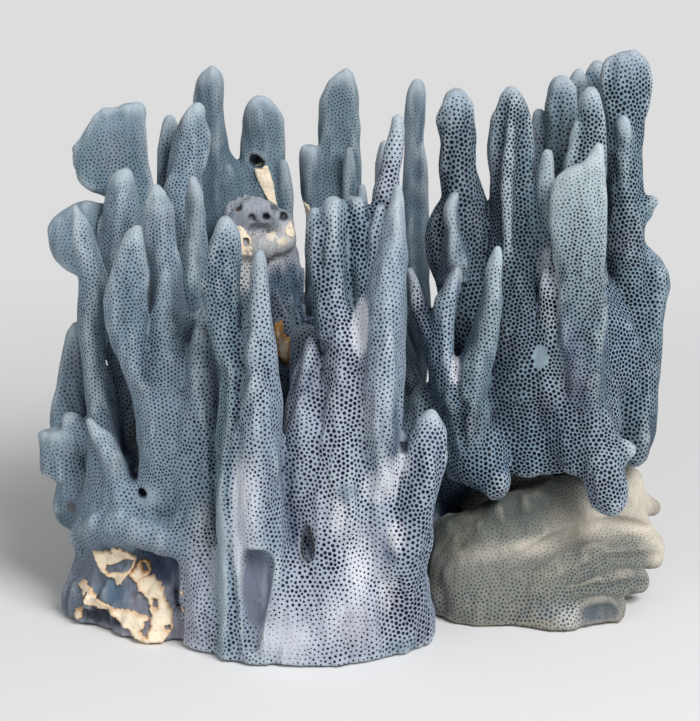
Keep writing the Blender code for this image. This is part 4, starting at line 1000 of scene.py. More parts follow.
def flipEdges(points, triangles, rng, evenOut):
    # swap an edge for the other diagonal where the two angles facing it add up to more than a half turn, or
    # where that brings the four points nearer to six neighbours each
    n = len(points)
    start, end, across, face, key = halfEdges(triangles, n)
    first = np.flatnonzero((key[1:] == key[:-1]))
    lonely = np.ones(len(first), dtype=bool)  # leave out edges with three or more faces
    lonely[1:] &= key[first[1:]] != key[first[:-1]]
    three = np.zeros(len(key) + 2, dtype=bool)
    three[:-4][key[2:] == key[:-2]] = True
    first = first[lonely & ~three[first]]
    second = first + 1
    a, b, c, d = start[first], end[first], across[first], across[second]
    good = (start[second] == b) & (c != d)
    first, second, a, b, c, d = (v[good] for v in (first, second, a, b, c, d))
    pa, pb, pc, pd = points[a], points[b], points[c], points[d]

    def cotangent(at, one, other):
        u, v = one - at, other - at
        return (u * v).sum(axis=1) / np.maximum(np.linalg.norm(np.cross(u, v), axis=1), 1e-9)

    gain = -(cotangent(pc, pa, pb) + cotangent(pd, pa, pb))
    if evenOut:
        many = np.bincount(triangles.ravel(), minlength=n) - 6
        fewer = (many[a] ** 2 + many[b] ** 2 + many[c] ** 2 + many[d] ** 2
                 - (many[a] - 1) ** 2 - (many[b] - 1) ** 2 - (many[c] + 1) ** 2 - (many[d] + 1) ** 2)
        want = (fewer > 0) & (gain > -1.6)
    else:
        want = gain > 0.02
    newOne, newOther = crossTimes(pa, pd, pc), crossTimes(pd, pb, pc)
    old = crossTimes(pa, pb, pc) + crossTimes(pb, pa, pd)
    oldLength = np.maximum(np.linalg.norm(old, axis=1), 1e-9)
    for new in (newOne, newOther):
        length = np.maximum(np.linalg.norm(new, axis=1), 1e-9)
        want &= (new * old).sum(axis=1) > 0.5 * length * oldLength
    newKey = np.minimum(c, d) * n + np.maximum(c, d)
    at = np.clip(np.searchsorted(key, newKey), 0, len(key) - 1)
    want &= key[at] != newKey  # the other diagonal isn't an edge already
    index = np.flatnonzero(want)
    turn = rng.random(len(index)) + 0.01
    best = np.zeros(len(triangles))
    faceOne, faceOther = face[first[index]], face[second[index]]
    np.maximum.at(best, faceOne, turn)
    np.maximum.at(best, faceOther, turn)
    index = index[(best[faceOne] == turn) & (best[faceOther] == turn)]
    index = index[np.unique(newKey[index], return_index=True)[1]]
    triangles = triangles.copy()
    triangles[face[first[index]]] = np.stack([a[index], d[index], c[index]], axis=1)
    triangles[face[second[index]]] = np.stack([d[index], b[index], c[index]], axis=1)
    return triangles


def relaxSkin(points, triangles, rounds):
    # even out the spacing: each point slides along the surface to the balance point of the faces round it
    rng = np.random.default_rng(skin["seed"] + 1)
    normal = normalsAt(points)
    jitter = rng.uniform(-skin["jitter"], skin["jitter"], points.shape)
    points = ontoSkin(points + jitter - (jitter * normal).sum(axis=1, keepdims=True) * normal)
    for turn in range(rounds):
        evenOut = turn % 3 != 2 and turn < rounds - 4
        for _ in range(4 if turn < 3 else 2):
            triangles = flipEdges(points, triangles, rng, evenOut)
        corners = triangles.T.ravel()
        area = np.linalg.norm(crossTimes(*points[triangles.T]), axis=1)
        balance = points[triangles].mean(axis=1) * area[:, None]
        share = np.bincount(corners, np.tile(area, 3), len(points)) + 1e-9
        middle = [np.bincount(corners, np.tile(balance[:, k], 3), len(points)) for k in range(3)]
        middle = np.stack([values / share for values in middle], axis=1)
        normal = normalsAt(points)
        move = middle - points
        move -= (move * normal).sum(axis=1, keepdims=True) * normal
        points = ontoSkin(points + skin["slide"] * move)
    return points, triangles


def addSites(points, triangles):
    # bring each stretch of skin up to the number of points that its pore spacing asks for: a face gets a
    # point at its middle with the chance (area / area of one pore's cell) - 1/2
    rng = np.random.default_rng(skin["seed"] + 3)
    middle = points[triangles].mean(axis=1)
    pitch = sample(paint, middle)[:, 4] / np.maximum(sample(total, middle)[:, 0], 1e-4)
    pitch = np.where(pitch < 0.5, 2.0, pitch)
    area = np.linalg.norm(crossTimes(*points[triangles.T]), axis=1) / 2
    chosen = rng.random(len(triangles)) < area / (skin["honeycomb"] * pitch ** 2) - 0.5
    chosen &= middle[:, 2] > 0.4
    a, b, c = triangles[chosen].T
    new = len(points) + np.arange(chosen.sum())
    three = [np.stack(corners, axis=1) for corners in ((a, b, new), (b, c, new), (c, a, new))]
    return np.concatenate([points, middle[chosen]]), np.concatenate([triangles[~chosen]] + three)


sitePoints, siteFaces = addSites(*mainBody(*drawSkin()))
print("skin", len(sitePoints), "points")
sitePoints, siteFaces = relaxSkin(sitePoints, siteFaces, skin["relaxRounds"])
print("skin evened out")

poreMake = dict(
    crestReach=1.6,     # mm over which a crest is told from the skin round it
    crestGain=4.0,      # and how soon it counts
    hollowReach=6.0,    # the same for a hollow
    hollowGain=3.0,
    open=1.14,          # the radius on level skin over the piece's own
    closing=0.55,       # and what a sharp crest takes off that
    vary=(0.74, 1.16),  # how far one pore's size is from its neighbours'
    least=0.12,         # a smaller radius gets no pit
    deep=1.5,           # the pit's depth over its radius
    rim=1.05,           # the rim's radius over the pore's
    rimRange=(0.34, 0.7),
    reach=0.44,         # a rim ends at this share of the way to the next pore
)


def blurredSolid(width):
    # share of solid within reach of each coarse sample: above a half in hollows, below it on crests
    coarse = (np.clip(0.5 - field[::2, ::2, ::2] / (2 * skin["cell"]), 0, 1)).astype(np.float32)
    fx, fy, fz = frequencies(coarse.shape, 2 * skin["cell"])
    square = fx ** 2 + fy ** 2 + fz ** 2
    bell = np.exp(-2 * (math.pi * width) ** 2 * square)
    return np.fft.irfftn(np.fft.rfftn(coarse) * bell, coarse.shape, axes=(0, 1, 2)).astype(np.float32)


def sampleCoarse(values, points):
    # trilinear reading of a grid with every second sample
    where = np.clip((points - gridStart) / (2 * skin["cell"]), 0, np.array(values.shape) - 1.001)
    base = where.astype(np.int64)
    t = where - base
    out = 0
    for i, j, k in np.ndindex(2, 2, 2):
        w = np.abs(1 - i - t[:, 0]) * np.abs(1 - j - t[:, 1]) * np.abs(1 - k - t[:, 2])
        out = out + w * values[base[:, 0] + i, base[:, 1] + j, base[:, 2] + k]
    return out


poreRng = np.random.default_rng(skin["seed"] + 2)
siteNormal = normalsAt(sitePoints)
weightSum = sample(paint, sitePoints)
paintTotal = np.maximum(sample(total, sitePoints)[:, 0], 1e-4)
crestGrid, hollowShadeGrid = blurredSolid(poreMake["crestReach"]), blurredSolid(poreMake["hollowReach"])


def crestAt(points):
    # what the share of solid lacks of a half, times crestGain, from -1 to 1
    return np.clip((0.5 - sampleCoarse(crestGrid, points)) * poreMake["crestGain"], -1, 1)


# how sharp a crest is: it shrinks the pores there, and the material paints a highlight on it
siteCrest = crestAt(sitePoints)
# painted shade: how deep in a hollow each point lies, which the material turns into darker colour
siteHollowShade = np.clip((sampleCoarse(hollowShadeGrid, sitePoints) - 0.5) * poreMake["hollowGain"], -1, 1)

siteTone = weightSum[:, :3] / paintTotal[:, None]
poreRadius = weightSum[:, 3] / paintTotal
for own in patches:
    away = np.linalg.norm((sitePoints - own["middle"]) / own["reach"], axis=1)
    share = np.clip(own["edge"] * (1 - away), 0, 1) ** 1.5
    poreRadius *= 1 - share * (1 - own["pore"])
    # a patch's lift takes painted hollow shade off
    siteHollowShade -= share * own["lift"]
    share = (share * own["share"])[:, None]
    siteTone = siteTone * (1 - share) + linear(tones[own["tone"]]) * share

# The pore's radius: the piece's own, smaller on sharp crests, and a little different from one to the next.
poreRadius *= poreMake["open"] - poreMake["closing"] * np.clip(siteCrest, 0, 1)
poreRadius *= poreRng.uniform(*poreMake["vary"], len(sitePoints))
underside = sitePoints[:, 2] < 0.5
poreRadius[underside] = 0.02
corners = np.clip(np.bincount(siteFaces.ravel(), minlength=len(sitePoints)), 4, 9)
rimRadius = np.clip(poreRadius * poreMake["rim"] / np.cos(math.pi / corners), *poreMake["rimRange"])
isPit = poreRadius > poreMake["least"]
poreDepth = np.where(isPit, poreRadius * poreMake["deep"], 0.0)

start, end = edgesOf(siteFaces)
both = np.concatenate([start * len(sitePoints) + end, end * len(sitePoints) + start])
spokes = np.unique(both)                      # every site paired with each of its neighbours
hub, toward = spokes // len(sitePoints), spokes % len(sitePoints)
reach = sitePoints[toward] - sitePoints[hub]
length = np.linalg.norm(reach, axis=1)
rim = sitePoints[hub] + reach * (np.minimum(rimRadius[hub], poreMake["reach"] * length) / length)[:, None]
rim = ontoSkin(rim)
rimNormal = normalsAt(rim)
print("pores", int(isPit.sum()), "rim points", len(rim))


def spoke(a, b):
    # the number of the rim point that stands at site a towards site b
    return np.searchsorted(spokes, a * len(sitePoints) + b)


a, b, c = siteFaces.T
ab, ac, ba, bc, ca, cb = spoke(a, b), spoke(a, c), spoke(b, a), spoke(b, c), spoke(c, a), spoke(c, b)
rimBase = len(sitePoints)
# seven faces to a triangle of sites: three slices of cup, then the flat between the rims
cups = np.stack([np.stack([a, ab + rimBase, ac + rimBase], 1), np.stack([b, bc + rimBase, ba + rimBase], 1),
                 np.stack([c, ca + rimBase, cb + rimBase], 1)], axis=1)
flats = np.stack([np.stack([ba, cb, ac], 1), np.stack([ba, bc, cb], 1), np.stack([cb, ca, ac], 1),
                  np.stack([ac, ab, ba], 1)], axis=1) + rimBase
allFaces = np.concatenate([cups, flats], axis=1)          # (sites' triangles, 7, 3)
bottoms = sitePoints - siteNormal * poreDepth[:, None]
bottoms[underside] = sitePoints[underside]
allPoints = np.concatenate([bottoms, rim])

# Corner data: how far a corner is from its pore's middle in pore radii, and the direction it is shaded in.
outward = unit(rim - sitePoints[hub])
steepness = np.clip(poreDepth / rimRadius, 0, 1.2)[hub]
cupRimNormal = unit(rimNormal - steepness[:, None] * outward)
rimOffset = np.linalg.norm(rim - sitePoints[hub], axis=1) / np.maximum(poreRadius[hub], 0.02)
tangent = unit(np.cross(siteNormal, (0.31, 0.87, 0.38)))
crossTangent = np.cross(siteNormal, tangent)
rimDisc = np.stack([(outward * way[hub]).sum(1) for way in (tangent, crossTangent)], 1) * rimOffset[:, None]

cornerNormal = np.empty(allFaces.shape + (3,), dtype=np.float32)
cornerDisc = np.empty(allFaces.shape + (2,), dtype=np.float32)
cornerNormal[:, :3, 0] = siteNormal[cups[:, :, 0]]
cornerNormal[:, :3, 1:] = cupRimNormal[cups[:, :, 1:] - rimBase]
cornerNormal[:, 3:] = rimNormal[flats - rimBase]
cornerDisc[:, :3, 0] = 0
cornerDisc[:, :3, 1:] = rimDisc[cups[:, :, 1:] - rimBase]
cornerDisc[:, 3:] = (3.0, 0.0)

allTone = np.concatenate([siteTone, siteTone[hub]])
# crest sharpness for the painted crest highlight
allCrestHighlight = np.concatenate([siteCrest, crestAt(rim)])
# the painted hollow shade, carried to the rim points too
allHollowShade = np.concatenate([siteHollowShade, siteHollowShade[hub]])


def facesAcross(triangles, n):
    # the face on the other side of each of a triangle's edges, or -1
    start, end = edgesOf(triangles)
    key = np.minimum(start, end) * n + np.maximum(start, end)
    order = np.argsort(key, kind="stable")
    pair = np.flatnonzero(key[order][1:] == key[order][:-1])
    one, other = order[pair], order[pair + 1]
    across = np.full(len(start), -1)
    across[one] = other % len(triangles)
    across[other] = one % len(triangles)
    return across.reshape(3, -1).T


def divideSkin(points, triangles):
    # each face goes to the piece it lies nearest; ragged borders and crumbs go to their neighbours
    middle = points[triangles].mean(axis=1)
    at = np.rint((middle - gridStart) / skin["cell"]).astype(int)
    label = owner[tuple(np.clip(at, 0, np.array(shape) - 1).T)].astype(int)
    across = facesAcross(triangles, len(points))
    across = np.where(across < 0, np.arange(len(triangles))[:, None], across)
    for _ in range(6):
        x, y, z = label[across].T
        label = np.where(x == y, x, np.where(y == z, y, np.where(x == z, x, label)))
    face = np.repeat(np.arange(len(triangles)), 3)
    for _ in range(12):
        beside = across.ravel()
        same = label[face] == label[beside]
        group = spread(len(triangles), face[same], beside[same])
        size = np.bincount(group, minlength=len(triangles))[group]
        biggest = np.zeros(len(pieceNames), dtype=int)
        np.maximum.at(biggest, label, size)
        crumb = size < biggest[label]
        if not crumb.any():
            break
        take = crumb[face] & ~crumb[beside]
        label[face[take]] = label[beside[take]]
    return label


def putIn(name, data):
    # a new object at the origin, in the scene
    thing = bpy.data.objects.new(name, data)
    bpy.context.scene.collection.objects.link(thing)
    return thing


def addMesh(name, spots, faces, corners, kind):
    # one object from arrays; corners holds the shading direction and the place in the pore of every corner,
    # and the edges between faces of different kinds are creased
    mesh = bpy.data.meshes.new(name)
    mesh.vertices.add(len(spots["place"]))
    mesh.vertices.foreach_set("co", (spots["place"] * mm).astype(np.float32).ravel())
    mesh.loops.add(faces.size)
    mesh.loops.foreach_set("vertex_index", faces.astype(np.int32).ravel())
    mesh.polygons.add(len(faces))
    mesh.polygons.foreach_set("loop_start", np.arange(0, faces.size, 3, dtype=np.int32))
    mesh.update(calc_edges=True)
    edgeOf = np.empty(faces.size, dtype=np.int32)
    mesh.loops.foreach_get("edge_index", edgeOf)
    lowKind, highKind = np.full(len(mesh.edges), 9), np.full(len(mesh.edges), -1)
    np.minimum.at(lowKind, edgeOf, np.repeat(kind, 3))
    np.maximum.at(highKind, edgeOf, np.repeat(kind, 3))
    mesh.attributes.new("sharp_edge", "BOOLEAN", "EDGE").data.foreach_set("value", lowKind != highKind)
    tone = np.concatenate([spots["tone"], np.ones((len(spots["tone"]), 1))], axis=1)
    disc = np.concatenate([corners["disc"], np.zeros((len(corners["disc"]), 1))], axis=1)
    for key, kindOf, domain, socket, values in (
            ("tone", "FLOAT_COLOR", "POINT", "color", tone),
            # crest carries the painted highlight
            ("crest", "FLOAT", "POINT", "value", spots["crest"]),
            # hollow carries the painted shade
            ("hollow", "FLOAT", "POINT", "value", spots["hollow"]),
            ("poreDisc", "FLOAT_VECTOR", "CORNER", "vector", disc),
            ("custom_normal", "FLOAT_VECTOR", "CORNER", "vector", corners["normal"])):
        mesh.attributes.new(key, kindOf, domain).data.foreach_set(socket, values.astype(np.float32).ravel())
    return putIn(name, mesh)


# Where the skin is divided between two pieces, the open rim is closed: sink and deep are how far below the
# skin the cap's edge and middle go, and under is how far inside the coral it stays, all in mm.
cap = dict(sink=1.6, deep=3.5, under=1.4, rings=4)


def closeCuts(spots, faces, corners, kind):
    # where the skin was divided, each open rim goes straight in a little way and then, in rings, to its
    # middle; every ring is pushed down along the field's slope until it lies inside the coral
    n = len(spots["place"])
    start, end = edgesOf(faces)
    key, back = start * n + end, end * n + start
    openEdge = ~np.isin(key, back)
    start, end = start[openEdge], end[openEdge]
    if not len(start):
        return spots, faces, corners, kind
    group = spread(n, start, end)
    labels, which = np.unique(group[start], return_inverse=True)
    share = np.bincount(which)[:, None]
    middle = np.stack([np.bincount(which, weights=spots["place"][start, k]) for k in range(3)], 1) / share
    inward = np.stack([np.bincount(which, weights=spots["normal"][start, k]) for k in range(3)], 1) / share
    rimSpots, rimWhich = np.unique(np.concatenate([start, end]), return_inverse=True)
    groupOfRim = np.searchsorted(labels, group[rimSpots])
    sunk = spots["place"][rimSpots] - cap["sink"] * spots["normal"][rimSpots]
    centre = middle - cap["deep"] * inward
    count = cap["rings"]
    rings = [sunk + (centre[groupOfRim] - sunk) * (level / count) for level in range(count)] + [centre]
    for ring in rings:
        for _ in range(5):
            ring -= np.clip(sample(field, ring) + cap["under"], 0, 1.5) * unit(slopeOf(field, ring), 0.2)
        ring[:, 2] = np.maximum(ring[:, 2], 0.2)
    caps, lower = [], (start, end)
    for level in range(count):
        base = n + level * len(rimSpots)
        upper = (base + rimWhich[:len(start)], base + rimWhich[len(start):])
        caps += [np.stack([lower[1], lower[0], upper[0]], 1), np.stack([lower[1], upper[0], upper[1]], 1)]
        lower = upper
    caps = np.concatenate(caps + [np.stack([lower[1], lower[0], n + count * len(rimSpots) + which], 1)])
    grown = dict(place=np.concatenate([spots["place"]] + rings))
    nearestRim = rimSpots[np.searchsorted(groupOfRim[np.argsort(groupOfRim)], np.arange(len(labels)))]
    for key in ("tone", "normal", "crest", "hollow"):
        own = spots[key]
        grown[key] = np.concatenate([own] + [own[rimSpots]] * count + [own[nearestRim]])
    caps = caps[sample(field, grown["place"][caps].mean(axis=1))[:, 0] < 0]  # nothing across open air
    p, q, r = (grown["place"][caps[:, k]] for k in range(3))
    facing = unit(crossTimes(p, q, r), 1e-9)
    capDisc = np.zeros((len(caps) * 3, 2))
    capDisc[:, 0] = 3.0
    return grown, np.concatenate([faces, caps]), dict(
        normal=np.concatenate([corners["normal"], np.repeat(facing, 3, axis=0)]),
        disc=np.concatenate([corners["disc"], capDisc])), np.concatenate([kind, np.full(len(caps), 2)])


faceLabel = divideSkin(sitePoints, siteFaces)
allNormal = np.concatenate([siteNormal, rimNormal])
coralPieces = {}
for name in pieceNames:
    mine = np.flatnonzero(faceLabel == pieceIndex[name])
    if not len(mine):
        print("no skin for", name)
        continue
    used, faces = np.unique(allFaces[mine].reshape(-1, 3), return_inverse=True)
    faces = faces.reshape(-1, 3)
    spots = dict(place=allPoints[used], tone=allTone[used], crest=allCrestHighlight[used], hollow=allHollowShade[used],
                 normal=allNormal[used])
    corners = dict(normal=cornerNormal[mine].reshape(-1, 3), disc=cornerDisc[mine].reshape(-1, 2))
    kind = np.tile([1, 1, 1, 0, 0, 0, 0], len(mine))
    thing = addMesh(name + "_skin", *closeCuts(spots, faces, corners, kind))
    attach(thing, "root")
    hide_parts(name)
    coralPieces[name] = thing
print("faces in all", sum(len(thing.data.polygons) for thing in coralPieces.values()))


def insideBy(x, z, outline):
    # distance from an outline, above zero inside: to its nearest edge, with the sign from the crossing rule
    corner = np.array(outline, dtype=float)
    away = np.full(x.shape, 99.0)
    inside = np.zeros(x.shape, dtype=bool)
    for (x0, z0), (x1, z1) in zip(corner, np.roll(corner, -1, axis=0)):
        t = np.clip(((x - x0) * (x1 - x0) + (z - z0) * (z1 - z0)) / ((x1 - x0) ** 2 + (z1 - z0) ** 2), 0, 1)
        away = np.minimum(away, np.hypot(x - x0 - t * (x1 - x0), z - z0 - t * (z1 - z0)))
        inside ^= ((z0 > z) != (z1 > z)) & (x < (x1 - x0) * (z - z0) / (z1 - z0 + 1e-9) + x0)
    return np.where(inside, away, -away)


def frontOf(x, z, fromY):
    # y where a line from the front first meets the coral
    y = np.arange(fromY, fromY + 40.0, 0.4)
    points = np.stack(np.broadcast_arrays(x[..., None], y, z[..., None]), axis=-1).reshape(-1, 3)
    depth = sample(field, points)[:, 0].reshape(x.shape + (len(y),))
    met = depth.min(axis=-1) < 0
    first = np.argmax(depth < 0, axis=-1)
    before = np.take_along_axis(depth, np.maximum(first - 1, 0)[..., None], -1)[..., 0]
    after = np.take_along_axis(depth, first[..., None], -1)[..., 0]
    return np.where(met & (first > 0), y[first] - 0.4 * after / np.minimum(after - before, -1e-3), np.nan)


def waves(x, z, rng, wavelength, count=9):
    # slow unevenness: plane waves in random directions, added up and divided by the root of their count
    out = np.zeros(x.shape)
    for angle, phase, stretch in zip(*rng.uniform((0, 0, 0.7), (6.28, 6.28, 1.4), (count, 3)).T):
        k = 2 * math.pi / (wavelength * stretch)
        out += np.sin(k * (x * math.cos(angle) + z * math.sin(angle)) + phase)
    return out / math.sqrt(count)


# How a crust plate is made, in mm: point spacing, width of its steep edge, how far its face starts and its
# back lies under the skin, and the width of its rusty rim.
plateMake = dict(step=0.3, edge=0.55, start=0.5, under=1.1, rustyRim=1.6)


def addPlate(name, spec, rng):
    # a closed plate on the coral's front: its height over the skin rises from a ragged outline in a steep
    # edge, thick (3 t^2 - 2 t^3) with t the share of the edge's width, and then rolls a little
    step = plateMake["step"]
    corner = np.array(spec["outline"], dtype=float)
    low, high = corner.min(axis=0) - 1, corner.max(axis=0) + 1
    x, z = np.meshgrid(np.arange(low[0], high[0], step), np.arange(max(low[1], 0.15), high[1], step),
                       indexing="ij")
    rag = spec.get("ragged", 1.0) * (0.22 * waves(x, z, rng, 2.2) + 0.1 * waves(x, z, rng, 0.9))
    depth = insideBy(x, z, spec["outline"]) + rag + 0.3
    for hole in spec.get("holes", []):
        depth = np.minimum(depth, -insideBy(x, z, hole) + 0.5 * rag)
    rise = np.clip(depth / plateMake["edge"], 0, 1)
    rise = rise * rise * (3 - 2 * rise)
    relief = spec["thick"] * (0.75 + 0.25 * waves(x, z, rng, 5.0)) + 0.1 * waves(x, z, rng, 1.3)
    skinY = frontOf(x, z, spec.get("fromY", -62.0))
    front = skinY + plateMake["start"] - rise * (plateMake["start"] + np.maximum(relief, 0.25))
    back = skinY + plateMake["under"]
    kept = (depth > 0) & np.isfinite(skinY)
    four = np.stack([skinY[:-1, :-1], skinY[1:, :-1], skinY[:-1, 1:], skinY[1:, 1:]])
    cells = kept[:-1, :-1] & kept[1:, :-1] & kept[:-1, 1:] & kept[1:, 1:]
    cells &= four.max(axis=0) - four.min(axis=0) < 2.0  # not across a step in depth
    n = x.size
    at = np.arange(n).reshape(x.shape)
    around = (at[:-1, :-1], at[1:, :-1], at[1:, 1:], at[:-1, 1:])
    quads = np.stack([number[cells] for number in around], axis=1)
    start, end = quads.ravel(), np.roll(quads, -1, axis=1).ravel()
    lone = ~np.isin(start * n + end, end * n + start)
    walls = np.stack([end[lone], start[lone], start[lone] + n, end[lone] + n], axis=1)
    faces = np.concatenate([quads, quads[:, ::-1] + n, walls])
    places = np.concatenate([np.stack([x, y, z], -1).reshape(-1, 3) for y in (front, back)])
    used, faces = np.unique(faces, return_inverse=True)
    faces = faces.reshape(-1, 4)
    mesh = bpy.data.meshes.new(name)
    mesh.from_pydata(places[used] * mm, [], faces)
    edge = np.clip(1 - depth.ravel() / plateMake["rustyRim"], 0, 1)
    mesh.attributes.new("rust", "FLOAT", "POINT").data.foreach_set(
        "value", (np.tile(edge, 2)[used] * spec["ochre"]).astype(np.float32))
    mesh.shade_smooth()
    thing = putIn(name, mesh)
    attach(thing, "root")
    return thing


plateRng = np.random.default_rng(skin["seed"] + 5)
crustPlates = [addPlate("crust_" + plate["name"], plate, plateRng) for plate in plates]
print("crust plates", len(crustPlates))


def link(tree, a, b):
    # output a into input b
    tree.links.new(a, b)


def feed(tree, socket, value):
    # a socket is linked; a number or a colour is written
    if isinstance(value, bpy.types.NodeSocket):
        link(tree, value, socket)
    elif isinstance(value, (int, float)):
        socket.default_value = value
    else:
        socket.default_value = (*value, 1.0)


def addNode(tree, kind, **values):
    # one node with its settings
    node = tree.nodes.new(kind)
    for key, value in values.items():
        setattr(node, key, value)
    return node


def mixColour(tree, mode, factor, one, other):
    # colour mix; factor and colours are sockets or plain values
    node = addNode(tree, "ShaderNodeMix", data_type="RGBA", blend_type=mode)
    for socket, value in ((0, factor), (6, one), (7, other)):
        feed(tree, node.inputs[socket], value)
    return node.outputs[2]


def ramp(tree, value, low, high, start=0.0, end=1.0):
    # start below low, end above high, and a smooth step between
    node = addNode(tree, "ShaderNodeMapRange", interpolation_type="SMOOTHSTEP")
    link(tree, value, node.inputs["Value"])
    for key, number in (("From Min", low), ("From Max", high), ("To Min", start), ("To Max", end)):
        node.inputs[key].default_value = number
    return node.outputs["Result"]


def multiply(tree, one, other):
    # product of two sockets or numbers
    node = addNode(tree, "ShaderNodeMath", operation="MULTIPLY")
    feed(tree, node.inputs[0], one)
    feed(tree, node.inputs[1], other)
    return node.outputs[0]


def noise(tree, coordinates, scale, detail, rough):
    # cloudy pattern, 0 to 1, with scale blobs to the metre
    node = addNode(tree, "ShaderNodeTexNoise")
    link(tree, coordinates, node.inputs["Vector"])
    node.inputs["Scale"].default_value = scale
    node.inputs["Detail"].default_value = detail
    node.inputs["Roughness"].default_value = rough
    return node.outputs["Fac"]


def attribute(tree, name, socket):
    # a value that the mesh carries
    return addNode(tree, "ShaderNodeAttribute", attribute_name=name).outputs[socket]


def newMaterial(name, roughness):
    # a plain Principled material to build on
    material = bpy.data.materials.new(name)
    material.use_nodes = True
    shader = material.node_tree.nodes["Principled BSDF"]
    shader.inputs["Roughness"].default_value = roughness
    return material, material.node_tree, shader


def addBump(tree, shader, height, strength, distance):
    # relief from a pattern, distance in metres
    bump = addNode(tree, "ShaderNodeBump")
    bump.inputs["Strength"].default_value = strength
    bump.inputs["Distance"].default_value = distance
    link(tree, height, bump.inputs["Height"])
    link(tree, bump.outputs["Normal"], shader.inputs["Normal"])


# The chalk: patterns in blobs to the metre, the ranges over which stains, crests and hollows set in and how
# far they go, where a pore's colour ends in pore radii, and the relief of the grain in metres. The crest
# colour is a painted highlight; the hollow and pore colours are painted shade.
coralFinish = dict(
    poreShadeColour=linear((9, 16, 50)), crestColour=linear((196, 206, 212)), hollowColour=linear((46, 62, 92)),
    stainColour=linear((128, 126, 140)), grain=0.35, roughness=0.78, specular=0.3,
    grainScale=900.0, grainDrawn=0.18, cloudScale=55.0, stainRange=(0.52, 0.72), stainShare=0.35,
    shadeRange=(0.12, 0.75), crestShare=0.46, hollowShare=0.8, poreEdge=(1.12, 0.8),
    relief=0.25, reliefHeight=0.0003)


def coralMaterial(name, finish):
    # chalky mineral: tone from the mesh, paler on crests as a painted highlight, darker in hollows and navy
    # in the pores as painted shade, upright grain
    material, tree, shader = newMaterial(name, finish["roughness"])
    place = addNode(tree, "ShaderNodeTexCoord").outputs["Object"]
    tone = attribute(tree, "tone", "Color")
    crest = attribute(tree, "crest", "Fac")
    hollow = attribute(tree, "hollow", "Fac")
    disc = attribute(tree, "poreDisc", "Vector")
    away = addNode(tree, "ShaderNodeVectorMath", operation="LENGTH")
    link(tree, disc, away.inputs[0])
    stretched = addNode(tree, "ShaderNodeMapping")
    link(tree, place, stretched.inputs["Vector"])
    stretched.inputs["Scale"].default_value = (1.0, 1.0, finish["grainDrawn"])
    upright = noise(tree, stretched.outputs[0], finish["grainScale"], 3.0, 0.6)
    cloud = noise(tree, place, finish["cloudScale"], 3.0, 0.55)
    stain = multiply(tree, ramp(tree, cloud, *finish["stainRange"]), finish["stainShare"])
    colour = mixColour(tree, "MIX", stain, tone, finish["stainColour"])
    # painted highlight on crests, painted shade in hollows
    for shade, key in ((crest, "crest"), (hollow, "hollow")):
        share = ramp(tree, shade, *finish["shadeRange"], 0.0, finish[key + "Share"])
        colour = mixColour(tree, "MIX", share, colour, finish[key + "Colour"])
    colour = mixColour(tree, "OVERLAY", finish["grain"], colour, ramp(tree, upright, 0.2, 0.8, 0.3, 0.7))
    # painted shade: navy inside the pores
    inPore = ramp(tree, away.outputs["Value"], *finish["poreEdge"])
    link(tree, mixColour(tree, "MIX", inPore, colour, finish["poreShadeColour"]), shader.inputs["Base Color"])
    shader.inputs["Specular IOR Level"].default_value = finish["specular"]
    addBump(tree, shader, upright, finish["relief"], finish["reliefHeight"])
    return material


# Each finish sets its own painted pore shade; some also their painted hollow shade, crest highlight, stain or
# grain.
finishes = dict(
    front=coralFinish,
    right=dict(coralFinish, poreShadeColour=linear((8, 17, 32)), hollowColour=linear((36, 54, 78))),
    left=dict(coralFinish, poreShadeColour=linear((30, 46, 64)), hollowColour=linear((44, 58, 76))),
    rear=dict(coralFinish, poreShadeColour=linear((34, 52, 70)), hollowColour=linear((40, 56, 74))),
    cream=dict(coralFinish, poreShadeColour=linear((62, 78, 84)), crestColour=linear((176, 170, 156)),
               hollowColour=linear((104, 99, 90)), stainColour=linear((166, 156, 136))),
    crusted=dict(coralFinish, poreShadeColour=linear((40, 46, 60)), crestColour=linear((156, 162, 170)),
                 stainColour=linear((120, 126, 136)), grain=0.5))


def finishOf(name):
    # crusted and cream pieces by their tone, the others by the cluster they stand in
    if pieces[name]["tone"] in ("mound", "crust"):
        return "crusted"
    if name == "pale_lobe":
        return "cream"
    for finish, book in (("right", rightCluster), ("left", leftCluster), ("rear", rearRow)):
        if name in book:
            return finish
    return {"right_mass": "right", "left_mass": "left", "rear_left_mass": "rear"}.get(name, "front")


materials = {}
for name, thing in coralPieces.items():
    finish = finishOf(name)
    if finish not in materials:
        materials[finish] = coralMaterial(finish + "_chalk", finishes[finish])
    thing.data.materials.append(materials[finish])


crustFinish = dict(
    roughness=0.85, rustRange=(0.05, 0.6), stainScale=420.0, stainRange=(0.55, 0.75), speckScale=1700.0,
    speckRange=(0.62, 0.75), speckColour=linear((120, 72, 30)), share=0.6, relief=0.5, reliefHeight=0.0004)


def crustMaterial(name, finish):
    # chalky cream with ochre rims and brown specks
    material, tree, shader = newMaterial(name, finish["roughness"])
    place = addNode(tree, "ShaderNodeTexCoord").outputs["Object"]
    rust = attribute(tree, "rust", "Fac")
    stain = noise(tree, place, finish["stainScale"], 4.0, 0.6)
    speck = noise(tree, place, finish["speckScale"], 3.0, 0.6)
    cream, ochre = linear(tones["cream"]), linear(tones["ochre"])
    colour = mixColour(tree, "MIX", ramp(tree, rust, *finish["rustRange"]), cream, ochre)
    for pattern, key, shade in ((stain, "stain", ochre), (speck, "speck", finish["speckColour"])):
        share = ramp(tree, pattern, *finish[key + "Range"], 0.0, finish["share"])
        colour = mixColour(tree, "MIX", share, colour, shade)
    link(tree, colour, shader.inputs["Base Color"])
    addBump(tree, shader, speck, finish["relief"], finish["reliefHeight"])
    return material


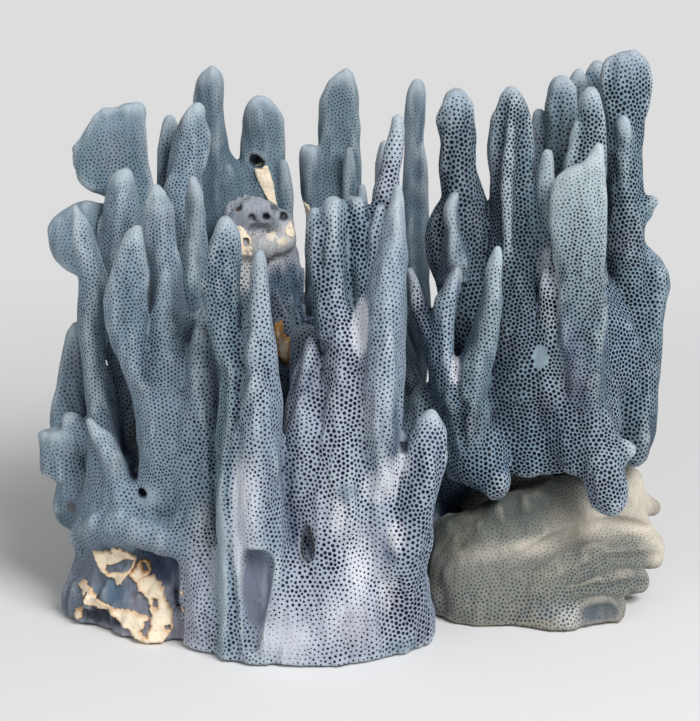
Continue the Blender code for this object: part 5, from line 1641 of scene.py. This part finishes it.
crustChalk = crustMaterial("cream_crust_chalk", crustFinish)
for plate in crustPlates:
    plate.data.materials.append(crustChalk)
print("finishes", sorted(materials))


# The room, in metres: the floor's size and drop, how bright its lit part and its plain part are, between
# which distances the one turns to the other, the world's light, where the lamps point, and the lamps.
studio = dict(
    floorSize=6.0, floorDrop=0.0004, floorTone=0.8, backdrop=0.72, fade=(0.1, 0.45), worldLevel=0.3,
    aim=(0, 0, 0.07),
    lamps=[dict(name="key_lamp", place=(0.55, -0.75, 0.95), size=0.6, power=16.0),
           dict(name="fill_lamp", place=(-0.8, -0.7, 0.5), size=0.8, power=2.0)])

floorMesh = bpy.data.meshes.new("studio_floor")
half = studio["floorSize"] / 2
floorCorners = ((-half, -half), (half, -half), (half, half), (-half, half))
floorMesh.from_pydata([(x, y, -studio["floorDrop"]) for x, y in floorCorners], [], [(0, 1, 2, 3)])
studioFloor = putIn("studio_floor", floorMesh)


def floorMaterial(name):
    # away from the coral the floor shows one plain pale tone to the camera; near it the lit floor keeps the
    # shadow
    material, tree, shader = newMaterial(name, 0.9)
    feed(tree, shader.inputs["Base Color"], (studio["floorTone"],) * 3)
    output = tree.nodes["Material Output"]
    plain = addNode(tree, "ShaderNodeEmission")
    plain.inputs["Color"].default_value = (studio["backdrop"],) * 3 + (1.0,)
    away = addNode(tree, "ShaderNodeVectorMath", operation="LENGTH")
    link(tree, addNode(tree, "ShaderNodeTexCoord").outputs["Object"], away.inputs[0])
    share = ramp(tree, away.outputs["Value"], *studio["fade"])
    seen = addNode(tree, "ShaderNodeLightPath").outputs["Is Camera Ray"]
    mixed = addNode(tree, "ShaderNodeMixShader")
    link(tree, multiply(tree, share, seen), mixed.inputs[0])
    link(tree, shader.outputs["BSDF"], mixed.inputs[1])
    link(tree, plain.outputs[0], mixed.inputs[2])
    link(tree, mixed.outputs[0], output.inputs["Surface"])
    return material


floorMesh.materials.append(floorMaterial("pale_floor"))

world = bpy.data.worlds.new("soft_room")
bpy.context.scene.world = world
world.use_nodes = True
sky = world.node_tree.nodes["Background"]
sky.inputs["Color"].default_value = (1.0, 1.0, 1.0, 1.0)
sky.inputs["Strength"].default_value = studio["worldLevel"]


def addLamp(name, place, size, power):
    # a square area lamp turned to its aim
    data = bpy.data.lights.new(name, "AREA")
    data.size = size
    data.energy = power
    lamp = putIn(name, data)
    lamp.location = place
    lamp.rotation_euler = (Vector(studio["aim"]) - Vector(place)).to_track_quat("-Z", "Y").to_euler()


for lamp in studio["lamps"]:
    addLamp(**lamp)

# The camera looks from the front, lift degrees above the level, at a point given in mm.
view = dict(aim=(-1.5, 0.0, 67.7), distance=600.0, lift=15.0, lens=105.1)
cameraData = bpy.data.cameras.new("camera")
cameraData.lens = view["lens"]
cameraData.clip_start = 0.01
camera = putIn("camera", cameraData)
lift = math.radians(view["lift"])
aimX, aimY, aimZ = view["aim"]
camera.location = (aimX * mm, (aimY - view["distance"] * math.cos(lift)) * mm,
                   (aimZ + view["distance"] * math.sin(lift)) * mm)
camera.rotation_euler = (math.pi / 2 - lift, 0.0, 0.0)
bpy.context.scene.camera = camera
bpy.context.scene.view_settings.view_transform = "Standard"
